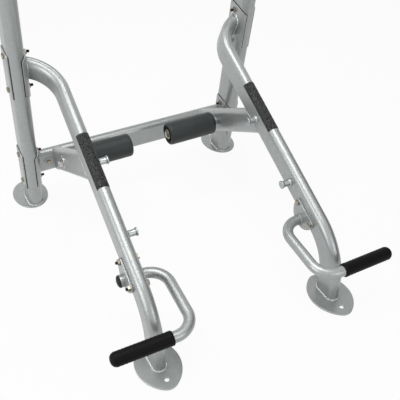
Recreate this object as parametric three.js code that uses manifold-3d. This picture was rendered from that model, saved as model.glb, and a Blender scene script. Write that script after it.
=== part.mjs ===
import * as THREE from 'three';
import { mergeVertices } from 'three/addons/utils/BufferGeometryUtils.js';
import Module from 'manifold-3d';

// A free-standing dip station: two leaning uprights of flat-oval tube, two front legs that double as
// steps, a dip arm on each upright, a push-up handle on each leg and two foam rollers near the floor.
// Lengths are millimetres. +Z is up and the user steps on from -Y, so +X is on the right of someone
// who looks at the station from the front. The origin is on the floor, in the middle of the footprint.

const wasm = await Module();
wasm.setup();

const degrees = THREE.MathUtils.degToRad;

// Clearances
const seatGap = 0.3;          // between a piece and what it is welded, pressed or bolted to
const boltClearance = 0.4;    // around a bolt shank, on the radius
const overrun = 5;            // how far a cutting tool passes the faces that it cuts
const weldReach = 0.001;      // corners nearer than this are one corner
const sameAngle = degrees(0.5); // and so are angles nearer than this

// Flat-oval tubes: across is the narrow side, deep the wide one
const uprightTube = { across: 56, deep: 106, wall: 3 };
const frameTube = { across: 41, deep: 91, wall: 2.5 };

// Uprights
const uprightSpread = 846;    // between the centre lines of the two uprights
const uprightLean = degrees(12.28);
const uprightLength = 1545;   // along the tube, from the floor to its top end
const uprightSetback = 23;    // the centre line meets the floor this far in front of the foot's centre

// Rear feet: oval floor plates with one screw hole behind the upright
const rearFoot = { wide: 134, long: 190, thick: 6, back: 9, outward: 6, hole: 13, holeBack: 64 };

// Joints on an upright. The two lower ones are measured along it from the floor.
const lowerJoint = 200;
const legJoint = 644;
const topToUpperJoint = 95;   // the upper joint hangs this far under the upright's top end
const jointSpace = 12;        // between the saddle plates of the two upper joints

// Formed saddle plates that clamp an upright from both sides. Their bolts are centred a little under
// the tube that the inner plate carries.
const saddle = { thick: 4, length: 180, corner: 40, boltSpacing: 138, sag: 8 };
const innerWrap = degrees(67.5);
const outerWrap = degrees(22.5);
const upperJoint = uprightLength - topToUpperJoint;
const dipJoint = upperJoint - saddle.length - jointSpace;

// Hexagon bolts and nuts
const bolt = { shank: 10, acrossFlats: 17, head: 6.4, nut: 8.4, beyondNut: 7 };
const boltSink = 1;           // how far a head or nut reaches into the plate that it is one piece with

// Front legs: each leaves its saddle at an angle, bends forward down a slope, then bends down to its foot
const legSlope = degrees(28.45);
const legInset = 117;         // from the upright's centre line to the leg's straight run
const legToe = degrees(0.65); // the legs spread a little towards the front
const legSwing = degrees(60); // between the straight run and the end that meets the saddle
const legTurn = 144;          // radius of the sideways bend
const footTurn = 183;         // radius of the bend above the foot
const legRun = 936;           // along the slope, from the upright's centre line to the corner above the foot

// Front feet
const frontFoot = { wide: 142, long: 200, thick: 6, forward: 15, outward: 3, hole: 13, holeForward: 65 };

// Struts between the lower crossmember and the legs
const strutRise = degrees(27.8);
const strutDrop = 7;          // the strut's centre line passes this far under the crossmember's
const strutInset = 112;       // from the upright's centre line

// Grip tape on the steps, and pegs for elastic bands, along the leg's slope
const tape = { thick: 1.2, length: 196, wrap: degrees(75) };
const tapePlaceRight = 382;
const tapePlaceLeft = 413;
const peg = { body: 21.5, head: 28, foot: 27, long: 35, lip: 4, footLip: 3, rim: 1 };
const upperPegPlace = 405;
const lowerPegToHandle = 117; // the lower peg sits this far up the slope from the push-up handle

// Push-up handles
const handleTube = { diameter: 35, wall: 2.5 };
const handlePlace = 780;      // along the leg's slope
const lowerPegPlace = handlePlace - lowerPegToHandle;
const handleBolts = 86;       // between the two bolts
const handleBoltDrop = 6;     // the bolts sit this far under the leg's centre line
const handleDrop = 53;        // the tube sits this far under it
const handlePlate = { thick: 6, border: 12, reach: 76 };
const handleInset = 100;      // from the leg's centre line inward to the tube
const handleReach = 243;      // forward
const handleFall = 30;        // down
const handleTurn = 64;
const handleEnd = 147;        // from the leg's centre line outward to the tube's end
const stub = { diameter: 40, wall: 3, long: 12 };
const plugDome = 9;
const plugSpigot = 8;
const pushUpGrip = { wall: 3.2, length: 170, end: 7 };

// Dip arms
const dipTube = { diameter: 44, wall: 3 };
const dipInset = 132;         // from the upright's centre line inward to the arm
const dipTurn = 80;
const dipReach = 430;
const dipGrip = { wall: 4, length: 190, end: 8 };

// Foam rollers, each on an axle through its strut
const rollerPlace = 192;      // along the strut, from the crossmember's centre
const rollerFoam = { diameter: 86, length: 186, round: 9 };
const rollerSleeve = { diameter: 30, runningGap: 0.5 };
const rollerAxle = { thread: 16, shaft: 19, collar: 32, beyond: 4 };
const rollerStandoff = 23;    // from the strut's inner face to the foam
const sleeveProud = 1.5;      // the sleeve stands this far out of the foam at each end
const outerAxleNut = { acrossFlats: 24, thick: 12, washer: 46, washerThick: 4 };
const innerAxleNut = { acrossFlats: 24, thick: 12, washer: 30, washerThick: 3 };

// A bolt with a broad washer through each end of a crossmember
const endBolt = { inset: 37, washer: 36, washerThick: 3 };

// End caps of the uprights
const cap = { thick: 5, edge: 2, spigot: 20 };

// Shapes of rounded ends, as shares of their own radius or height
const domeShares = [[1, 0], [0.94, 0.45], [0.75, 0.72], [0.45, 0.9], [0, 1]];
const gripEndShares = [[1, 0.55], [0.6, 0.86], [0, 1]];
const softEdgeShare = 0.3;

// Facet counts
const ovalFacets = 8;         // in each half circle of a flat-oval tube
const boreFacets = 3;         // and of its bore
const cornerSegments = 2;
const plateSegments = 3;
const bendFacets = 5;
const dipFacets = 6;
const footFacets = 6;
const handleFacets = 5;
const handleSides = 12;
const dipSides = 14;
const boreSides = 6;
const holeSides = 7;
const discSides = 24;
const rollerSides = 24;
const gripSides = 12;
const stubSides = 14;
const washerSides = 12;
const pegSides = 12;
const hexSides = 6;

// Materials
function finish(colour, roughness, metalness) {
  return () => new THREE.MeshStandardMaterial({ color: colour, roughness, metalness });
}
const silverPaint = finish(0xb4b7b6, 0.38, 0.75);
const zinc = finish(0xc9b98f, 0.35, 0.9);
const brightSteel = finish(0xc8cacb, 0.3, 0.9);
const blackPlastic = finish(0x151515, 0.55, 0);
const blackRubber = finish(0x191919, 0.8, 0);
const greyFoam = finish(0x3b3f3f, 0.75, 0);
const gripTape = finish(0x222222, 0.95, 0);

// Solids for joining and cutting
function asSolid(geometry, matrix = new THREE.Matrix4()) {
  const bare = geometry.clone().applyMatrix4(matrix);
  bare.deleteAttribute('normal');
  bare.deleteAttribute('uv');
  const merged = mergeVertices(bare, weldReach);
  const corners = merged.index.array;
  const kept = [];
  for (let i = 0; i < corners.length; i += 3) {
    const [a, b, c] = corners.subarray(i, i + 3);
    if (a !== b && b !== c && c !== a) {
      kept.push(a, b, c);
    }
  }
  const vertProperties = Float32Array.from(merged.attributes.position.array);
  return new wasm.Manifold(new wasm.Mesh({ numProp: 3, vertProperties, triVerts: Uint32Array.from(kept) }));
}

function asGeometry(solid) {
  const mesh = solid.getMesh();
  const geometry = new THREE.BufferGeometry();
  geometry.setAttribute('position', new THREE.BufferAttribute(Float32Array.from(mesh.vertProperties), 3));
  geometry.setIndex(new THREE.BufferAttribute(Uint32Array.from(mesh.triVerts), 1));
  geometry.computeVertexNormals();
  return geometry;
}

function cut(geometry, ...tools) {
  return asGeometry(tools.reduce((solid, tool) => solid.subtract(asSolid(tool)), asSolid(geometry)));
}

function join(geometry, ...others) {
  return asGeometry(others.reduce((solid, other) => solid.add(asSolid(other)), asSolid(geometry)));
}

function unindexed(geometry) {
  const copy = geometry.index ? geometry.toNonIndexed() : geometry.clone();
  copy.deleteAttribute('uv');
  return copy;
}

function mirrored(geometry) {
  const copy = unindexed(geometry);
  copy.applyMatrix4(new THREE.Matrix4().makeScale(-1, 1, 1));
  const place = copy.attributes.position;
  for (let i = 0; i < place.count; i += 3) {
    const [x, y, z] = [place.getX(i), place.getY(i), place.getZ(i)];
    place.setXYZ(i, place.getX(i + 1), place.getY(i + 1), place.getZ(i + 1));
    place.setXYZ(i + 1, x, y, z);
  }
  copy.computeVertexNormals();
  return copy;
}

// A route of straight runs joined by round bends, with its stations only where the tube turns
class BentRoute extends THREE.Curve {
  constructor(corners, radius, facets) {
    super();
    this.places = [corners[0]];
    this.headings = [corners[1].clone().sub(corners[0]).normalize()];
    for (let i = 1; i < corners.length - 1; i += 1) {
      this.addBend(corners[i - 1], corners[i], corners[i + 1], radius[i - 1], facets[i - 1]);
    }
    this.places.push(corners.at(-1));
    this.headings.push(corners.at(-1).clone().sub(corners.at(-2)).normalize());
  }

  addBend(before, corner, after, radius, facets) {
    const arriving = corner.clone().sub(before).normalize();
    const leaving = after.clone().sub(corner).normalize();
    const turn = arriving.angleTo(leaving);
    const axis = arriving.clone().cross(leaving).normalize();
    const inward = axis.clone().cross(arriving);
    const start = corner.clone().addScaledVector(arriving, -radius * Math.tan(turn / 2));
    const centre = start.clone().addScaledVector(inward, radius);
    for (let i = 0; i <= facets; i += 1) {
      const swing = (turn * i) / facets;
      this.places.push(start.clone().sub(centre).applyAxisAngle(axis, swing).add(centre));
      this.headings.push(arriving.clone().applyAxisAngle(axis, swing));
    }
  }

  get steps() {
    return this.places.length - 1;
  }

  getPointAt(share) {
    return this.places[Math.round(share * this.steps)].clone();
  }

  getTangentAt(share) {
    return this.headings[Math.round(share * this.steps)].clone();
  }
}

function sweep(section, route) {
  return new THREE.ExtrudeGeometry(section, { steps: route.steps, extrudePath: route, bevelEnabled: false });
}

// Sections
function closedOutline(outline, points) {
  outline.setFromPoints(points);
  outline.closePath();
  return outline;
}

// A flat oval, with the given number of facets in each of its half circles
function ovalOutline(outline, wideX, wideY, facets) {
  const radius = Math.min(wideX, wideY) / 2;
  const shiftX = Math.max(wideX - wideY, 0) / 2;
  const shiftY = Math.max(wideY - wideX, 0) / 2;
  const firstAngle = wideY > wideX ? 0 : -Math.PI / 2;
  const points = [];
  for (const end of [1, -1]) {
    for (let i = 0; i <= facets; i += 1) {
      const angle = firstAngle + (Math.PI * i) / facets;
      points.push(new THREE.Vector2(
        end * (shiftX + radius * Math.cos(angle)),
        end * (shiftY + radius * Math.sin(angle)),
      ));
    }
  }
  return closedOutline(outline, points);
}

function ovalSection(wideX, wideY, wall) {
  const section = ovalOutline(new THREE.Shape(), wideX, wideY, ovalFacets);
  section.holes.push(ovalOutline(new THREE.Path(), wideX - 2 * wall, wideY - 2 * wall, boreFacets));
  return section;
}

function polygonOutline(outline, radius, sides, centreX = 0, centreY = 0) {
  const points = [];
  for (let i = 0; i < sides; i += 1) {
    const angle = (Math.PI * (2 * i + 1)) / sides;
    points.push(new THREE.Vector2(centreX + radius * Math.cos(angle), centreY + radius * Math.sin(angle)));
  }
  return closedOutline(outline, points);
}

function roundSection(diameter, wall, sides) {
  const section = polygonOutline(new THREE.Shape(), diameter / 2, sides);
  section.holes.push(polygonOutline(new THREE.Path(), diameter / 2 - wall, boreSides));
  return section;
}

// What wraps part of a flat-oval tube follows a bigger copy of its facets, so the gap under it stays
// the same all round. These are the angles of its corners, and a corner at any such angle.
const ovalFacet = Math.PI / ovalFacets;

function facetAngles(from, to) {
  const inside = [];
  for (let angle = 0; angle < to - sameAngle; angle += ovalFacet) {
    if (angle > from + sameAngle) {
      inside.push(angle);
    }
  }
  return [from, ...inside, to];
}

function facetPoint(centreY, radius, angle) {
  const reach = (radius * Math.cos(ovalFacet / 2)) / Math.cos((angle % ovalFacet) - ovalFacet / 2);
  return new THREE.Vector2(reach * Math.cos(angle), centreY + reach * Math.sin(angle));
}

// The corner radius that a bore with flat facets needs so that a round pin clears it
function boreRadius(pin, clearance, sides) {
  return (pin / 2 + clearance) / Math.cos(Math.PI / sides);
}

// Straight stock
function extruded(section, length, curveSegments) {
  return new THREE.ExtrudeGeometry(section, { depth: length, bevelEnabled: false, curveSegments });
}

function alongX(geometry) {
  return geometry.rotateY(Math.PI / 2);
}

function rodAlongX(radius, fromX, toX, sides) {
  const rod = new THREE.CylinderGeometry(radius, radius, toX - fromX, sides);
  return rod.rotateZ(Math.PI / 2).translate((fromX + toX) / 2, 0, 0);
}

// A turned piece whose axis is X: its profile is a list of [distance along X, radius], in either
// order round, and the faces point outward when it is taken anticlockwise
function turnedAlongX(profile, sides) {
  const points = profile.map(([along, radius]) => new THREE.Vector2(radius, along));
  if (THREE.ShapeUtils.area(points) < 0) points.reverse();
  return new THREE.LatheGeometry(points, sides).rotateZ(-Math.PI / 2);
}

// Frames of reference, each a group turned about X so that it mirrors from side to side
function turnedGroup(parent, x, y, z, turn) {
  const group = new THREE.Group();
  group.position.set(x, y, z);
  group.rotation.x = turn;
  parent.add(group);
  return group;
}

function sideName(side) {
  return side > 0 ? 'right' : 'left';
}

function addPiece(parent, name, geometry, material, x = 0, y = 0, z = 0) {
  const mesh = new THREE.Mesh(geometry, material());
  mesh.name = name;
  mesh.position.set(x, y, z);
  parent.add(mesh);
  return mesh;
}

// The right-hand piece is drawn once and the left-hand one is its mirror image
function addSidePiece(parent, side, name, geometry, material, x = 0, y = 0, z = 0) {
  const shape = side > 0 ? geometry : mirrored(geometry);
  return addPiece(parent, `${sideName(side)}_${name}`, shape, material, side * x, y, z);
}

// Places worked out from the driving dimensions
const uprightX = uprightSpread / 2;
const sin = Math.sin;
const cos = Math.cos;

function uprightPoint(along) {
  return { y: -uprightSetback - along * sin(uprightLean), z: along * cos(uprightLean) };
}

const crossPlace = uprightPoint(lowerJoint);
const legPlace = uprightPoint(legJoint);
const dipPlace = uprightPoint(dipJoint);
const upperPlace = uprightPoint(upperJoint);
const uprightFace = uprightTube.across / 2;
const saddleInside = uprightFace + seatGap;
const saddleFace = saddleInside + saddle.thick;
const tubeStart = saddleFace + seatGap;
const legFace = frameTube.across / 2;
const legHeading = new THREE.Vector3(sin(legToe), -cos(legToe), 0);
const legSwingHeading = new THREE.Vector3(sin(legSwing), cos(legSwing), 0);
const runStart = new THREE.Vector3(-legInset, 0, 0);
const swingCorner = runStart.clone().addScaledVector(legHeading, (legInset - tubeStart) / Math.tan(legSwing));
const footCorner = runStart.clone().addScaledVector(legHeading, legRun);
const footCornerZ = legPlace.z - legRun * cos(legToe) * sin(legSlope);
const footCentreY = legPlace.y - legRun * cos(legToe) * cos(legSlope);
const footCentreX = uprightX + footCorner.x;
const frontEdgeY = footCentreY - frontFoot.forward - frontFoot.long / 2;
const rearEdgeY = rearFoot.back + rearFoot.long / 2;
const middleY = (frontEdgeY + rearEdgeY) / 2;

const station = new THREE.Group();
const base = new THREE.Group();
base.position.y = -middleY;
station.add(base);

// Holes for bolts that pass sideways through a piece, at [y, z] places
function sidewaysHoles(places, radius, halfLength) {
  return places.map(([y, z]) => rodAlongX(radius, -halfLength, halfLength, holeSides).translate(0, y, z));
}

function pairOfBolts(centre) {
  return [[0, centre - saddle.boltSpacing / 2], [0, centre + saddle.boltSpacing / 2]];
}

function saddlePlace(joint) {
  return joint - saddle.sag;
}

const holeRadius = boreRadius(bolt.shank, boltClearance, holeSides);

// Upright tube, in its own leaning frame
function uprightTubeShape(frame) {
  const section = ovalSection(uprightTube.across, uprightTube.deep, uprightTube.wall);
  const tube = extruded(section, uprightLength + uprightTube.deep);
  tube.translate(0, 0, -uprightTube.deep);
  const block = uprightTube.deep * 3;
  const floorBlock = new THREE.BoxGeometry(block, block, block);
  floorBlock.translate(0, 0, rearFoot.thick + seatGap - block / 2);
  floorBlock.applyMatrix4(new THREE.Matrix4().makeRotationX(-frame.rotation.x));
  const places = [lowerJoint, legJoint, dipJoint, upperJoint].map(saddlePlace).flatMap(pairOfBolts);
  return cut(tube, floorBlock, ...sidewaysHoles(places, holeRadius, uprightFace + overrun));
}

function uprightCapShape() {
  const [wide, long] = [uprightTube.across - 2 * cap.edge, uprightTube.deep - 2 * cap.edge];
  const top = new THREE.ExtrudeGeometry(ovalOutline(new THREE.Shape(), wide, long, ovalFacets), {
    depth: cap.thick - 2 * cap.edge, bevelThickness: cap.edge, bevelSize: cap.edge, bevelSegments: 1,
  });
  top.translate(0, 0, cap.edge);
  const lost = 2 * (uprightTube.wall + seatGap);
  const [boreWide, boreLong] = [uprightTube.across - lost, uprightTube.deep - lost];
  const spigotOutline = ovalOutline(new THREE.Shape(), boreWide, boreLong, boreFacets);
  const spigot = extruded(spigotOutline, cap.spigot + cap.thick / 2);
  return join(top, spigot.translate(0, 0, -cap.spigot));
}

// Saddle plate: a strip bent round one side of the upright, with round corners and two bolt holes.
// It is drawn on the -X side of the upright.
function saddleRing(radius, wrap) {
  const shift = (uprightTube.deep - uprightTube.across) / 2;
  const lower = facetAngles(Math.PI, Math.PI + wrap).map((angle) => facetPoint(-shift, radius, angle));
  const upper = facetAngles(Math.PI - wrap, Math.PI).map((angle) => facetPoint(shift, radius, angle));
  return [...upper, ...lower];
}

function saddleSection(wrap) {
  return new THREE.Shape([...saddleRing(saddleInside, wrap), ...saddleRing(saddleFace, wrap).reverse()]);
}

function roundedPlate(wide, long, corner) {
  const outline = new THREE.Shape();
  const x = wide / 2 - corner;
  const y = long / 2 - corner;
  outline.absarc(x, y, corner, 0, Math.PI / 2, false);
  outline.absarc(-x, y, corner, Math.PI / 2, Math.PI, false);
  outline.absarc(-x, -y, corner, Math.PI, 3 * Math.PI / 2, false);
  outline.absarc(x, -y, corner, 3 * Math.PI / 2, 2 * Math.PI, false);
  return outline;
}

function saddlePlate(wrap, length) {
  const strip = extruded(saddleSection(wrap), length + 2 * overrun);
  strip.translate(0, 0, -length / 2 - overrun);
  const wide = uprightTube.deep + 2 * (seatGap + saddle.thick);
  const blank = extruded(roundedPlate(length, wide, saddle.corner), saddleFace + overrun, cornerSegments);
  const mask = alongX(blank).translate(-saddleFace - overrun, 0, 0);
  return asGeometry(asSolid(strip).intersect(asSolid(mask)));
}

// A bolt whose head seats on the -X face of a plate at -face and whose shank runs through to +X,
// past a nut that seats on the plate at +face. It is one piece with the plate that carries it.
function withBolts(plate, face, places) {
  const hex = polygonOutline(new THREE.Shape(), bolt.acrossFlats / Math.sqrt(3), hexSides);
  const tip = face + bolt.nut + bolt.beyondNut;
  const pieces = places.flatMap(([y, z]) => [
    alongX(extruded(hex, bolt.head + boltSink)).translate(-face - bolt.head, y, z),
    rodAlongX(bolt.shank / 2, -face, tip, holeSides).translate(0, y, z),
  ]);
  return join(plate, ...pieces);
}

// A plate at -face with a nut on it round each bolt, and the holes that the bolts pass through
function withNuts(plate, face, places) {
  const hex = polygonOutline(new THREE.Shape(), bolt.acrossFlats / Math.sqrt(3), hexSides);
  const pieces = places.map(([y, z]) => (
    alongX(extruded(hex, bolt.nut + boltSink)).translate(-face - bolt.nut, y, z)
  ));
  return cut(join(plate, ...pieces), ...sidewaysHoles(places, holeRadius, face + bolt.nut + overrun));
}

// Front leg, in a frame that slopes with it and starts on the upright's centre line
function frontLegShape() {
  const down = new THREE.Vector3(0, -sin(legSlope), -cos(legSlope));
  const ankle = footCorner.clone().addScaledVector(down, footCornerZ - frontFoot.thick - seatGap);
  const toFace = (-tubeStart - swingCorner.x) / sin(legSwing);
  const beyondFace = swingCorner.clone().addScaledVector(legSwingHeading, toFace + frameTube.across);
  const corners = [beyondFace, swingCorner, footCorner, ankle];
  const route = new BentRoute(corners, [legTurn, footTurn], [bendFacets, footFacets]);
  return sweep(ovalSection(frameTube.deep, frameTube.across, frameTube.wall), route);
}

// The straight run of the leg has its own frame: -Y down the slope, X across, Z out of its top
function runFrame(parent, side) {
  const frame = new THREE.Group();
  frame.position.set(side * runStart.x, 0, 0);
  frame.rotation.z = side * legToe;
  parent.add(frame);
  return frame;
}

const handleBoltPlaces = [-1, 1].map((end) => [-handlePlace + end * handleBolts / 2, -handleBoltDrop]);

function drilledFrontLeg() {
  const pastSaddle = new THREE.BoxGeometry(legInset, legRun, legRun);
  pastSaddle.translate(legInset / 2 - tubeStart, 0, 0);
  const toRun = new THREE.Matrix4().makeRotationZ(legToe).setPosition(runStart);
  const holes = sidewaysHoles(handleBoltPlaces, holeRadius, legFace + overrun);
  return cut(frontLegShape(), pastSaddle, ...holes.map((hole) => hole.applyMatrix4(toRun)));
}

// An oval floor plate with one screw hole, on the centre line of the tube that stands on it
function floorPlateShape(foot, holeY) {
  const outline = new THREE.Shape();
  outline.absellipse(0, 0, foot.wide / 2, foot.long / 2, 0, 2 * Math.PI, false);
  outline.holes.push(polygonOutline(new THREE.Path(), foot.hole / 2, pegSides, -foot.outward, holeY));
  return extruded(outline, foot.thick, discSides / 2);
}

// Strut, in a frame whose Z runs up along it from the crossmember's centre line
function strutShape(frame, side, crossCut, legCut) {
  const length = legRun;
  const section = ovalSection(frameTube.across, frameTube.deep, frameTube.wall);
  const stock = extruded(section, length);
  const axleRadius = boreRadius(rollerAxle.thread, boltClearance, holeSides);
  const axleHole = rodAlongX(axleRadius, -legFace - overrun, legFace + overrun, holeSides);
  axleHole.translate(0, 0, rollerPlace);
  const toLocal = frame.matrixWorld.clone().invert();
  const solid = asSolid(stock).subtract(asSolid(axleHole));
  return asGeometry(solid.subtract(asSolid(crossCut, toLocal)).subtract(asSolid(legCut, toLocal)));
}

// What a strut must stop short of at its rear end: the crossmember, and everything behind it
function crossmemberClearance() {
  const deep = frameTube.deep + 2 * seatGap;
  const section = ovalOutline(new THREE.Shape(), deep, frameTube.across + 2 * seatGap, ovalFacets);
  const blank = alongX(extruded(section, uprightSpread)).translate(-uprightX, 0, 0);
  const behind = new THREE.BoxGeometry(uprightSpread, deep, deep * 3);
  return join(blank, behind.translate(0, deep / 2, 0));
}

// What it must stop short of at its front end: the leg above it, and everything beyond the leg
function legClearance() {
  const wide = frameTube.across + 2 * seatGap;
  const section = ovalOutline(new THREE.Shape(), wide, frameTube.deep + 2 * seatGap, ovalFacets);
  const blank = extruded(section, legRun * 2).rotateX(Math.PI / 2).translate(0, legRun, 0);
  const beyond = new THREE.BoxGeometry(wide * 2, legRun * 4, legRun);
  return join(blank, beyond.translate(0, 0, legRun / 2));
}

// A bolt through the crossmember from front to back, with a broad washer at each face
function endBoltPieces(x) {
  const face = frameTube.across / 2;
  const seat = face + endBolt.washerThick;
  const hex = polygonOutline(new THREE.Shape(), bolt.acrossFlats / Math.sqrt(3), hexSides);
  const disc = endBolt.washer / 2;
  const towardsY = (shape, y) => shape.rotateX(-Math.PI / 2).translate(x, y, 0);
  const rod = new THREE.CylinderGeometry(bolt.shank / 2, bolt.shank / 2, 2 * seat, holeSides);
  const pieces = [rod.translate(x, 0, 0)];
  for (const side of [-1, 1]) {
    const washerDisc = new THREE.CylinderGeometry(disc, disc, endBolt.washerThick + boltSink, washerSides);
    pieces.push(washerDisc.translate(x, side * (face + (endBolt.washerThick - boltSink) / 2), 0));
  }
  pieces.push(towardsY(extruded(hex, bolt.head + boltSink), -seat - bolt.head));
  pieces.push(towardsY(extruded(hex, bolt.nut + boltSink), seat - boltSink));
  return pieces;
}

function crossmemberShape(half) {
  const section = ovalSection(frameTube.deep, frameTube.across, frameTube.wall);
  const tube = alongX(extruded(section, half * 2)).translate(-half, 0, 0);
  const bolts = [-1, 1].flatMap((end) => endBoltPieces(end * (half - endBolt.inset)));
  return join(tube, ...bolts);
}

// Grip tape: a strip over the round top of the leg
function tapeShape() {
  const centre = (frameTube.deep - frameTube.across) / 2;
  const inner = legFace + seatGap;
  const angles = facetAngles(Math.PI / 2 - tape.wrap, Math.PI / 2 + tape.wrap);
  const under = angles.map((angle) => facetPoint(centre, inner, angle));
  const over = angles.map((angle) => facetPoint(centre, inner + tape.thick, angle));
  const section = new THREE.Shape([...over, ...under.reverse()]);
  return extruded(section, tape.length).rotateX(Math.PI / 2).translate(0, tape.length / 2, 0);
}

// Band peg: a spool that stands out of the leg's inner face, towards -X
function pegShape() {
  const seat = legFace + seatGap;
  const tip = seat + peg.long;
  const profile = [
    [-seat, 0], [-seat, peg.foot / 2], [-seat - peg.footLip, peg.foot / 2],
    [-seat - 2 * peg.footLip, peg.body / 2], [-tip + 2 * peg.lip, peg.body / 2],
    [-tip + peg.lip, peg.head / 2], [-tip + peg.rim, peg.head / 2], [-tip, peg.head / 2 - peg.rim], [-tip, 0],
  ];
  return turnedAlongX(profile, pegSides);
}

// Handle plates: straight along the leg and bulging under it to carry the tube
function handlePlateOutline() {
  const half = handleBolts / 2 + handlePlate.border;
  const bulge = handlePlate.reach - handleBoltDrop;
  const outline = new THREE.Shape();
  const corner = handlePlate.border;
  outline.absellipse(0, -handleBoltDrop, half, bulge, Math.PI, 2 * Math.PI, false);
  outline.absarc(half - corner, -handleBoltDrop, corner, 0, Math.PI / 2, false);
  outline.absarc(corner - half, -handleBoltDrop, corner, Math.PI / 2, Math.PI, false);
  return outline;
}

// The outline's x runs down the slope and its y out of the leg's top
function handlePlateShape(fromX) {
  const plate = extruded(handlePlateOutline(), handlePlate.thick, plateSegments);
  plate.rotateX(Math.PI / 2).rotateZ(-Math.PI / 2);
  return plate.translate(fromX + handlePlate.thick, -handlePlace, 0);
}

const handlePlateFace = legFace + seatGap + handlePlate.thick;

function innerHandlePlateShape() {
  return withBolts(handlePlateShape(-handlePlateFace), handlePlateFace, handleBoltPlaces);
}

function outerHandlePlateShape() {
  const face = legFace + seatGap;
  const plate = mirrored(withNuts(mirrored(handlePlateShape(face)), handlePlateFace, handleBoltPlaces));
  const ring = turnedAlongX([
    [face + handlePlate.thick / 2, stub.diameter / 2 - stub.wall],
    [face + handlePlate.thick + stub.long, stub.diameter / 2 - stub.wall],
    [face + handlePlate.thick + stub.long, stub.diameter / 2],
    [face + handlePlate.thick / 2, stub.diameter / 2],
    [face + handlePlate.thick / 2, stub.diameter / 2 - stub.wall],
  ], stubSides);
  return join(plate, ring.translate(0, -handlePlace, -handleDrop));
}

function plugShape() {
  const seat = legFace + seatGap + handlePlate.thick + stub.long + seatGap;
  const bore = stub.diameter / 2 - stub.wall - seatGap;
  const rim = stub.diameter / 2;
  const profile = domeShares.map(([rise, wide]) => [seat + plugDome * rise, rim * wide]);
  profile.push([seat, bore], [seat - plugSpigot, bore], [seat - plugSpigot, 0]);
  return turnedAlongX(profile, stubSides);
}

// Push-up handle, drawn level, in a frame at the tube's centre on the leg's centre plane
function handleShape() {
  const start = legFace + seatGap + handlePlate.thick + seatGap;
  const corners = [
    new THREE.Vector3(-start, 0, 0),
    new THREE.Vector3(-handleInset, 0, 0),
    new THREE.Vector3(-handleInset, -handleReach, -handleFall),
    new THREE.Vector3(handleEnd, -handleReach, -handleFall),
  ];
  const route = new BentRoute(corners, [handleTurn, handleTurn], [handleFacets, handleFacets]);
  return sweep(roundSection(handleTube.diameter, handleTube.wall, handleSides), route);
}

// A grip that closes over the end of a tube that runs towards +X and ends at 0
function gripShape(tube, grip) {
  const inner = boreRadius(tube.diameter, seatGap, gripSides);
  const outer = inner + grip.wall;
  const end = grip.end + seatGap;
  const profile = [
    [end, 0],
    ...gripEndShares.map(([rise, wide]) => [end - grip.end * (1 - rise), outer * wide]),
    [end - grip.length + grip.wall / 2, outer], [end - grip.length, outer - grip.wall / 2],
    [end - grip.length, inner], [seatGap, inner], [seatGap, 0],
  ];
  return turnedAlongX(profile, gripSides);
}

// Dip arm, in a level frame on the upright's centre line
function dipArmShape() {
  const corners = [
    new THREE.Vector3(-tubeStart, 0, 0),
    new THREE.Vector3(-dipInset, 0, 0),
    new THREE.Vector3(-dipInset, -dipReach, 0),
  ];
  const route = new BentRoute(corners, [dipTurn], [dipFacets]);
  return sweep(roundSection(dipTube.diameter, dipTube.wall, dipSides), route);
}

// Foam roller parts, in a frame on the strut's centre plane, with the roller towards -X
const foamStart = legFace + rollerStandoff;
const foamEnd = foamStart + rollerFoam.length;

function foamShape() {
  const inner = boreRadius(rollerSleeve.diameter, seatGap, rollerSides);
  const outer = rollerFoam.diameter / 2;
  const soft = rollerFoam.round * softEdgeShare;
  const half = [
    [rollerFoam.length / 2, inner], [rollerFoam.length / 2, outer - rollerFoam.round],
    [rollerFoam.length / 2 - soft, outer - soft], [rollerFoam.length / 2 - rollerFoam.round, outer],
  ];
  const otherHalf = half.map(([along, radius]) => [-along, radius]).reverse();
  const profile = [...half, ...otherHalf, half[0]];
  return turnedAlongX(profile, rollerSides).translate(-(foamStart + foamEnd) / 2, 0, 0);
}

function sleeveShape() {
  const outer = rollerSleeve.diameter / 2;
  const inner = boreRadius(rollerAxle.shaft, rollerSleeve.runningGap, gripSides);
  const [start, end] = [-foamStart + sleeveProud, -foamEnd - sleeveProud];
  const profile = [[start, inner], [end, inner], [end, outer], [start, outer], [start, inner]];
  return turnedAlongX(profile, gripSides);
}

const innerNutSeat = foamEnd + sleeveProud + seatGap;
const outerNutSeat = legFace + seatGap;

function axleShape() {
  const thread = rollerAxle.thread / 2;
  const outerEnd = outerNutSeat + outerAxleNut.washerThick + outerAxleNut.thick + rollerAxle.beyond;
  const innerEnd = innerNutSeat + innerAxleNut.washerThick + innerAxleNut.thick + rollerAxle.beyond;
  const collarEnd = foamStart - sleeveProud - seatGap;
  const profile = [
    [outerEnd, 0], [outerEnd, thread], [-legFace - seatGap, thread],
    [-legFace - seatGap, rollerAxle.collar / 2], [-collarEnd, rollerAxle.collar / 2],
    [-collarEnd, rollerAxle.shaft / 2], [-innerNutSeat + seatGap, rollerAxle.shaft / 2],
    [-innerNutSeat + seatGap, thread], [-innerEnd, thread], [-innerEnd, 0],
  ];
  return turnedAlongX(profile, gripSides);
}

// Hexagon nut and washer, their bores along X, between two X places
function hexNut(fromX, toX, acrossFlats, bore) {
  const radius = acrossFlats / Math.sqrt(3);
  const section = polygonOutline(new THREE.Shape(), radius, hexSides);
  section.holes.push(polygonOutline(new THREE.Path(), boreRadius(bore, seatGap, holeSides), holeSides));
  return alongX(extruded(section, toX - fromX)).translate(fromX, 0, 0);
}

function washer(fromX, toX, diameter, bore) {
  const section = polygonOutline(new THREE.Shape(), diameter / 2, gripSides);
  section.holes.push(polygonOutline(new THREE.Path(), boreRadius(bore, seatGap, holeSides), holeSides));
  return alongX(extruded(section, toX - fromX)).translate(fromX, 0, 0);
}

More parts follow.
